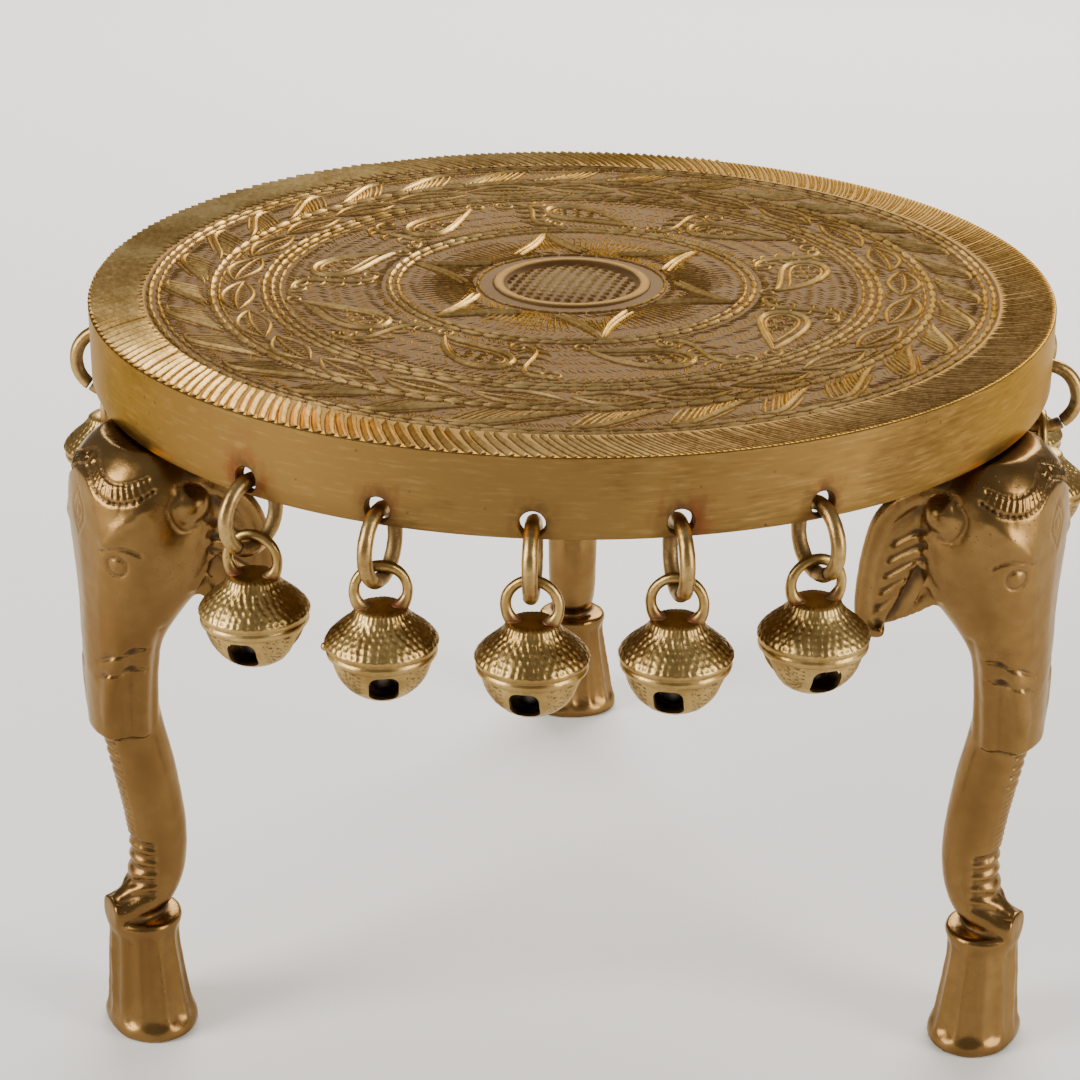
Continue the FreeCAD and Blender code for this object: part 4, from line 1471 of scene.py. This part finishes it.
class Finish:
    """A procedural material that is written step by step."""

    def __init__(self, name, edge=(0.95, 0.86, 0.72, 1)):
        self.material = bpy.data.materials.new(name)
        self.material.use_nodes = True
        self.tree = self.material.node_tree
        self.shader = next(n for n in self.tree.nodes if n.type == "BSDF_PRINCIPLED")
        self.object_place = self.add("ShaderNodeTexCoord").outputs["Object"]
        self.shader.inputs["Specular Tint"].default_value = edge

    def add(self, kind, settings=None, **inputs):
        """One node of a kind, with settings and with values or links for its inputs."""
        node = self.tree.nodes.new(kind)
        for key, value in (settings or {}).items():
            setattr(node, key, value)
        for key, value in inputs.items():
            socket = node.inputs[key.replace("_", " ")]
            self.feed(socket, value)
        return node

    def feed(self, socket, value):
        """Link a value or a socket to an input, or set it."""
        if isinstance(value, Value):
            self.tree.links.new(value.source, socket)
        elif isinstance(value, bpy.types.NodeSocket):
            self.tree.links.new(value, socket)
        else:
            socket.default_value = value

    def noise(self, scale, detail=3.0, roughness=0.55, stretch=None):
        """Noise from 0 to 1, scale in bumps per metre."""
        place = self.object_place
        if stretch:
            place = self.stretched(stretch)
        node = self.add("ShaderNodeTexNoise", Vector=place, Scale=scale, Detail=detail,
                        Roughness=roughness)
        return Value(self.tree, node.outputs[0])

    def stretched(self, factors):
        """The object coordinates with each direction scaled."""
        node = self.add("ShaderNodeVectorMath", {"operation": "MULTIPLY"})
        self.feed(node.inputs[0], self.object_place)
        self.feed(node.inputs[1], factors)
        return node.outputs[0]

    def spots(self, scale, size):
        """Round spots, 1 in the middle of a cell and 0 outside the size."""
        node = self.add("ShaderNodeTexVoronoi", Vector=self.object_place, Scale=scale)
        return 1 - Value(self.tree, node.outputs["Distance"]).rise(size * 0.4, size)

    def axis(self, name):
        """X, Y or Z of the object coordinates, in millimetres."""
        node = self.add("ShaderNodeSeparateXYZ", Vector=self.object_place)
        return Value(self.tree, node.outputs[name]) / MM

    def radius(self):
        """The distance from the stool's axis, in millimetres."""
        x, y = self.axis("X"), self.axis("Y")
        return (x * x + y * y) ** 0.5

    def mark(self, name):
        """A number stored on the mesh under this name."""
        node = self.add("ShaderNodeAttribute", {"attribute_name": name})
        return Value(self.tree, node.outputs["Fac"])

    def blend(self, first, second, share):
        """A colour between two others."""
        node = self.add("ShaderNodeMix", {"data_type": "RGBA"})
        self.feed(node.inputs[0], share)
        for socket, colour in ((node.inputs[6], first), (node.inputs[7], second)):
            self.feed(socket, colour)
        return node.outputs[2]

    def bump(self, height, depth, under=None):
        """A normal from a height, depth in millimetres."""
        node = self.add("ShaderNodeBump", Height=height, Distance=depth * MM)
        if under is not None:
            self.feed(node.inputs["Normal"], under)
        return node.outputs[0]

    def finish(self, **inputs):
        """Feed the shader's own inputs."""
        for key, value in inputs.items():
            self.feed(self.shader.inputs[key.replace("_", " ")], value)
        return self.material


def dress(piece, material, body="stool", nodes=()):
    """Give a piece its material and tie it to the frame."""
    piece.data.materials.clear()
    piece.data.materials.append(material)
    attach(piece, body)
    if nodes:
        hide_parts(*nodes)
    return piece


# %% [markdown]
# The colours are linear values of warm brass. `PALE` is freshly rubbed metal, `GOLD` is
# the mean tone of the casting and the tone that painted light brings up on the apron's
# right side, `UMBER` is the patina in the furrows and also the painted shade inside and
# under the apron, and `RUST` is the reddish bloom around the wire holes.

# %% Mix the brasses
PALE = (0.74, 0.52, 0.215, 1)
GOLD = (0.36, 0.212, 0.062, 1)
TAWNY = (0.105, 0.058, 0.018, 1)
HONEY = (0.210, 0.120, 0.036, 1)
BRONZE = (0.185, 0.098, 0.030, 1)
UMBER = (0.070, 0.033, 0.011, 1)
SOOT = (0.016, 0.009, 0.005, 1)
RUST = (0.16, 0.036, 0.012, 1)


def engraved_brass():
    """Relief, ground, border and boss: the height above the ground sets the tone."""
    finish = Finish("engraved_brass", edge=(0.85, 0.62, 0.35, 1))
    height = finish.axis("Z")
    radius = finish.radius()
    mottle = finish.noise(900.0, 4.0, 0.6)
    cloud = finish.noise(55.0, 3.0)
    worn = (height + (mottle - 0.5) * 0.2 + (cloud - 0.5) * 0.14).rise(GROUND + 0.04, GROUND + 0.5)
    on_border = radius.rise(BORDER_IN - 0.3, BORDER_IN + 0.2)
    worn_border = (height + (mottle - 0.5) * 0.2).rise(BORDER_GROUND + 0.05, BORDER_GROUND + 0.42)
    worn = worn + (worn_border - worn) * on_border
    low = finish.blend(UMBER, BRONZE, (mottle * 0.7 + cloud * 0.5).rise(0.3, 0.75))
    high = finish.blend(GOLD, PALE, (cloud * 0.7 + mottle * 0.4).rise(0.35, 0.75))
    colour = finish.blend(low, high, worn)
    rough = 0.62 - worn * (0.32 - mottle * 0.12)
    grain = finish.noise(2600.0, 2.0)
    normal = finish.bump(grain * 0.6 + mottle * 0.6, 0.05)
    return finish.finish(Base_Color=colour, Metallic=1.0, Roughness=rough,
                         Normal=normal)


def apron_brass():
    """The smooth wall: buffing bands, pits, stains at the holes, painted shade inside and under the top, and
    painted light that makes its right side golder.
    """
    finish = Finish("apron_brass", edge=(0.88, 0.68, 0.42, 1))
    height = finish.axis("Z")
    radius = finish.radius()
    cloud = finish.noise(26.0, 4.0, 0.6)
    broad = finish.noise(11.0, 2.0, 0.5)
    streak = finish.noise(160.0, 3.0, 0.6, stretch=(1.0, 1.0, 9.0))
    fine = finish.noise(1500.0, 2.0, 0.5, stretch=(1.0, 1.0, 0.25))
    on_top = height.rise(GROUND - 0.9, GROUND - 0.3) * (1 - radius.rise(PLATE_RADIUS - 0.7,
                                                                      PLATE_RADIUS - 0.35))
    boss_ring = height.rise(GROUND + 0.1, GROUND + 0.5) * radius.rise(13.2, 13.9)
    on_top = on_top * (1 - boss_ring)
    # Painted shade: the apron's inner wall and the underside, under the top, are darkened by radius alone.
    inside = 1 - radius.rise(PLATE_RADIUS - 1.9, PLATE_RADIUS - 1.0)
    pits = finish.spots(420.0, 0.17) * finish.noise(60.0).rise(0.5, 0.66)
    colour = finish.blend(TAWNY, HONEY, (cloud * 0.85 + streak * 0.2).rise(0.38, 0.56))
    # Painted light: the X term turns the apron golder towards its right side (+X) and browner towards its left.
    colour = finish.blend(colour, GOLD, (broad * 0.8 + streak * 0.15 + finish.axis("X") * 0.0026).rise(0.47, 0.78))
    colour = finish.blend(colour, PALE, ((streak - 0.55) * 1.6).clamped() * 0.35)
    grime = finish.mark("grime")
    rusty = finish.mark("rust") * finish.noise(210.0, 4.0).rise(0.38, 0.6)
    dark = (pits * 0.8).largest(grime * finish.noise(330.0, 4.0).rise(0.3, 0.6))
    dark = dark.largest(on_top).largest(inside * 0.55)
    colour = finish.blend(colour, RUST, rusty * 0.8)
    colour = finish.blend(colour, UMBER, dark * 0.9)
    colour = finish.blend(colour, UMBER, on_top * 0.8)
    rough = 0.27 + cloud * 0.10 + streak * 0.08 + dark * 0.3
    normal = finish.bump(fine * 0.2 + streak * 0.2 - pits * 2.0, 0.035)
    return finish.finish(Base_Color=colour, Metallic=1.0 - dark * 0.45, Roughness=rough,
                         Normal=normal)


ENGRAVED = engraved_brass()
APRON = apron_brass()


# %% Mark grime and rust round the holes
def mark(thing, name, function):
    """Store a number for every vertex, from its place in millimetres."""
    layer = thing.data.attributes.new(name, "FLOAT", "POINT")
    layer.data.foreach_set("value", [function(vertex.co / MM) for vertex in thing.data.vertices])


holes = []
for bell in BELLS:
    outward = joint_axis(bell + "_shell_swing")
    holes.append(Vector((outward.x * PLATE_RADIUS, outward.y * PLATE_RADIUS, HOLE_HEIGHT)))


def hole_grime(place):
    """Dark around every hole."""
    near = min((place - hole).length for hole in holes)
    return smoothstep((5.2 - near) / 3.2)


def hole_rust(place):
    """A red bloom at some of the holes."""
    near = min((place - hole).length + 2.5 * (number % 3) for number, hole in enumerate(holes))
    return smoothstep((8.0 - near) / 5.0)


mark(plate, "grime", hole_grime)
mark(plate, "rust", hole_rust)
dress(plate, APRON, nodes=["engraved_plate"])
for piece in (border_bars, ring_beads, outer_leaf_band, inner_leaf_band, mango_strokes,
              star_lines, boss_studs, chiselled_ground):
    dress(piece, ENGRAVED)

# %% [markdown]
# The cast parts carry a number called "hollow" that says how deep each point lies under
# its surroundings. Dirt stays in such places and rubbing brightens the rest. The number also
# holds painted shade: it is raised over the whole inside of each bell, on the inner side of
# each link's ring and on the legs' inner side under the top, so these render dark. The bells
# are dull and yellow, and the legs are a browner casting.

# %% Mix the cast brasses
def cast_finish(name, dark, middle, light, gloss, scale):
    """A casting with dark hollows and painted shade from its hollow mark, a mottled middle tone and rubbed high
    places.
    """
    finish = Finish(name)
    hollow = finish.mark("hollow")
    cloud = finish.noise(scale, 4.0, 0.6)
    mottle = finish.noise(scale * 9, 4.0, 0.6)
    grain = finish.noise(2600.0, 2.0)
    pits = finish.spots(900.0, 0.16) * finish.noise(scale * 2).rise(0.5, 0.64)
    # Darkening from the hollow mark: patina in the hollows, and painted shade inside the bells, on the links'
    # inner side and on the legs under the top.
    darkening = (hollow * 1.25 + (mottle - 0.5) * 0.5).rise(0.12, 0.72)
    darkening = darkening.largest(pits * 0.7)
    colour = finish.blend(middle, light, (cloud * 0.8 + mottle * 0.2).rise(0.36, 0.78))
    colour = finish.blend(colour, dark, darkening * 0.92)
    normal = finish.bump(grain * 0.35 + mottle * 0.8 - pits * 1.2, 0.05)
    finish.finish(Base_Color=colour, Metallic=1.0 - darkening * 0.5,
                  Roughness=gloss + cloud * 0.14 + darkening * 0.3, Normal=normal)
    return finish


def add_rusty_root(finish):
    """A red-brown bloom where a bell's crown loop grows out of its shoulders."""
    rooted = finish.mark("root") * finish.noise(420.0, 3.0).rise(0.36, 0.6)
    before = finish.shader.inputs["Base Color"].links[0].from_socket
    finish.finish(Base_Color=finish.blend(before, (0.16, 0.032, 0.014, 1), rooted * 0.7))
    return finish.material


BELL_BRASS = add_rusty_root(cast_finish("bell_brass", (0.050, 0.026, 0.010, 1),
                                        (0.300, 0.185, 0.058, 1), (0.58, 0.41, 0.155, 1),
                                        0.25, 130.0))
LINK_BRASS = cast_finish("link_brass", (0.050, 0.025, 0.010, 1), (0.28, 0.165, 0.055, 1),
                         (0.55, 0.38, 0.15, 1), 0.24, 260.0).material
CAST_BRASS = cast_finish("cast_brass", (0.045, 0.021, 0.008, 1), (0.160, 0.085, 0.027, 1),
                         (0.30, 0.180, 0.062, 1), 0.2, 28.0).material
PELLET_IRON = cast_finish("pellet_iron", (0.030, 0.018, 0.012, 1), (0.10, 0.080, 0.066, 1),
                          (0.20, 0.17, 0.15, 1), 0.45, 300.0).material
screw_finish = Finish("screw_brass")
turning = screw_finish.noise(900.0, 2.0, stretch=(1.0, 1.0, 6.0))
SCREW_BRASS = screw_finish.finish(
    Base_Color=screw_finish.blend(HONEY, PALE, turning.rise(0.4, 0.7)), Metallic=1.0,
    Roughness=0.28 + turning * 0.2)

# %% Dress the bells, the legs and the screws
for name, (link_copy, shell_copy, pellet_copy) in bell_pieces:
    dress(link_copy, LINK_BRASS, name + "_link", [name + "_link"])
    dress(shell_copy, BELL_BRASS, name + "_shell", [name + "_shell"])
    dress(pellet_copy, PELLET_IRON, name + "_pellet", [name + "_pellet"])
for name, leg_copy in leg_pieces:
    dress(leg_copy, CAST_BRASS, nodes=[name])
for name, node in frame["nodes"].items():
    if "screw" in name:
        node.data.materials.clear()
        node.data.materials.append(SCREW_BRASS)
print("materials", sorted(material.name for material in bpy.data.materials))

# %% [markdown]
# ## Floor and lights
# The stool stands on a plain pale floor in a soft studio. One large light above and
# behind skims over the relief, a second one from the left gives the apron its long
# highlight, and a weak one from the right opens the shadows.

# %% Build the stage
nothing_selected()
ops.mesh.primitive_plane_add(size=80.0, location=(0, 0, 0))
floor = settle(bpy.context.object, "floor")
paper = Finish("paper")
paper.finish(Base_Color=(0.86, 0.85, 0.83, 1), Roughness=0.85)
floor.data.materials.append(paper.material)

world = bpy.data.worlds.new("studio")
world.use_nodes = True
world.node_tree.nodes["Background"].inputs["Color"].default_value = (1.0, 0.985, 0.96, 1)
world.node_tree.nodes["Background"].inputs["Strength"].default_value = 0.34
bpy.context.scene.world = world


def soft_light(name, place, aim_at, size, power, colour):
    """A square area light that looks at a point, lengths in metres."""
    data = bpy.data.lights.new(name, "AREA")
    data.shape = "RECTANGLE"
    data.size, data.size_y = size
    data.energy = power
    data.color = colour
    light = bpy.data.objects.new(name, data)
    light.location = place
    light.rotation_euler = (Vector(aim_at) - Vector(place)).to_track_quat("-Z", "Y").to_euler()
    bpy.context.scene.collection.objects.link(light)
    return light


HEART = (0.0, 0.0, 0.12)
soft_light("over", (0.2, 1.15, 0.85), HEART, (1.5, 0.6), 34, (1.0, 0.97, 0.92))
soft_light("left", (-0.95, -0.45, 0.55), HEART, (0.5, 0.9), 17, (1.0, 0.96, 0.9))
soft_light("right", (1.0, -0.55, 0.45), HEART, (0.5, 0.9), 13, (1.0, 0.95, 0.88))
print("stage and lights ready")
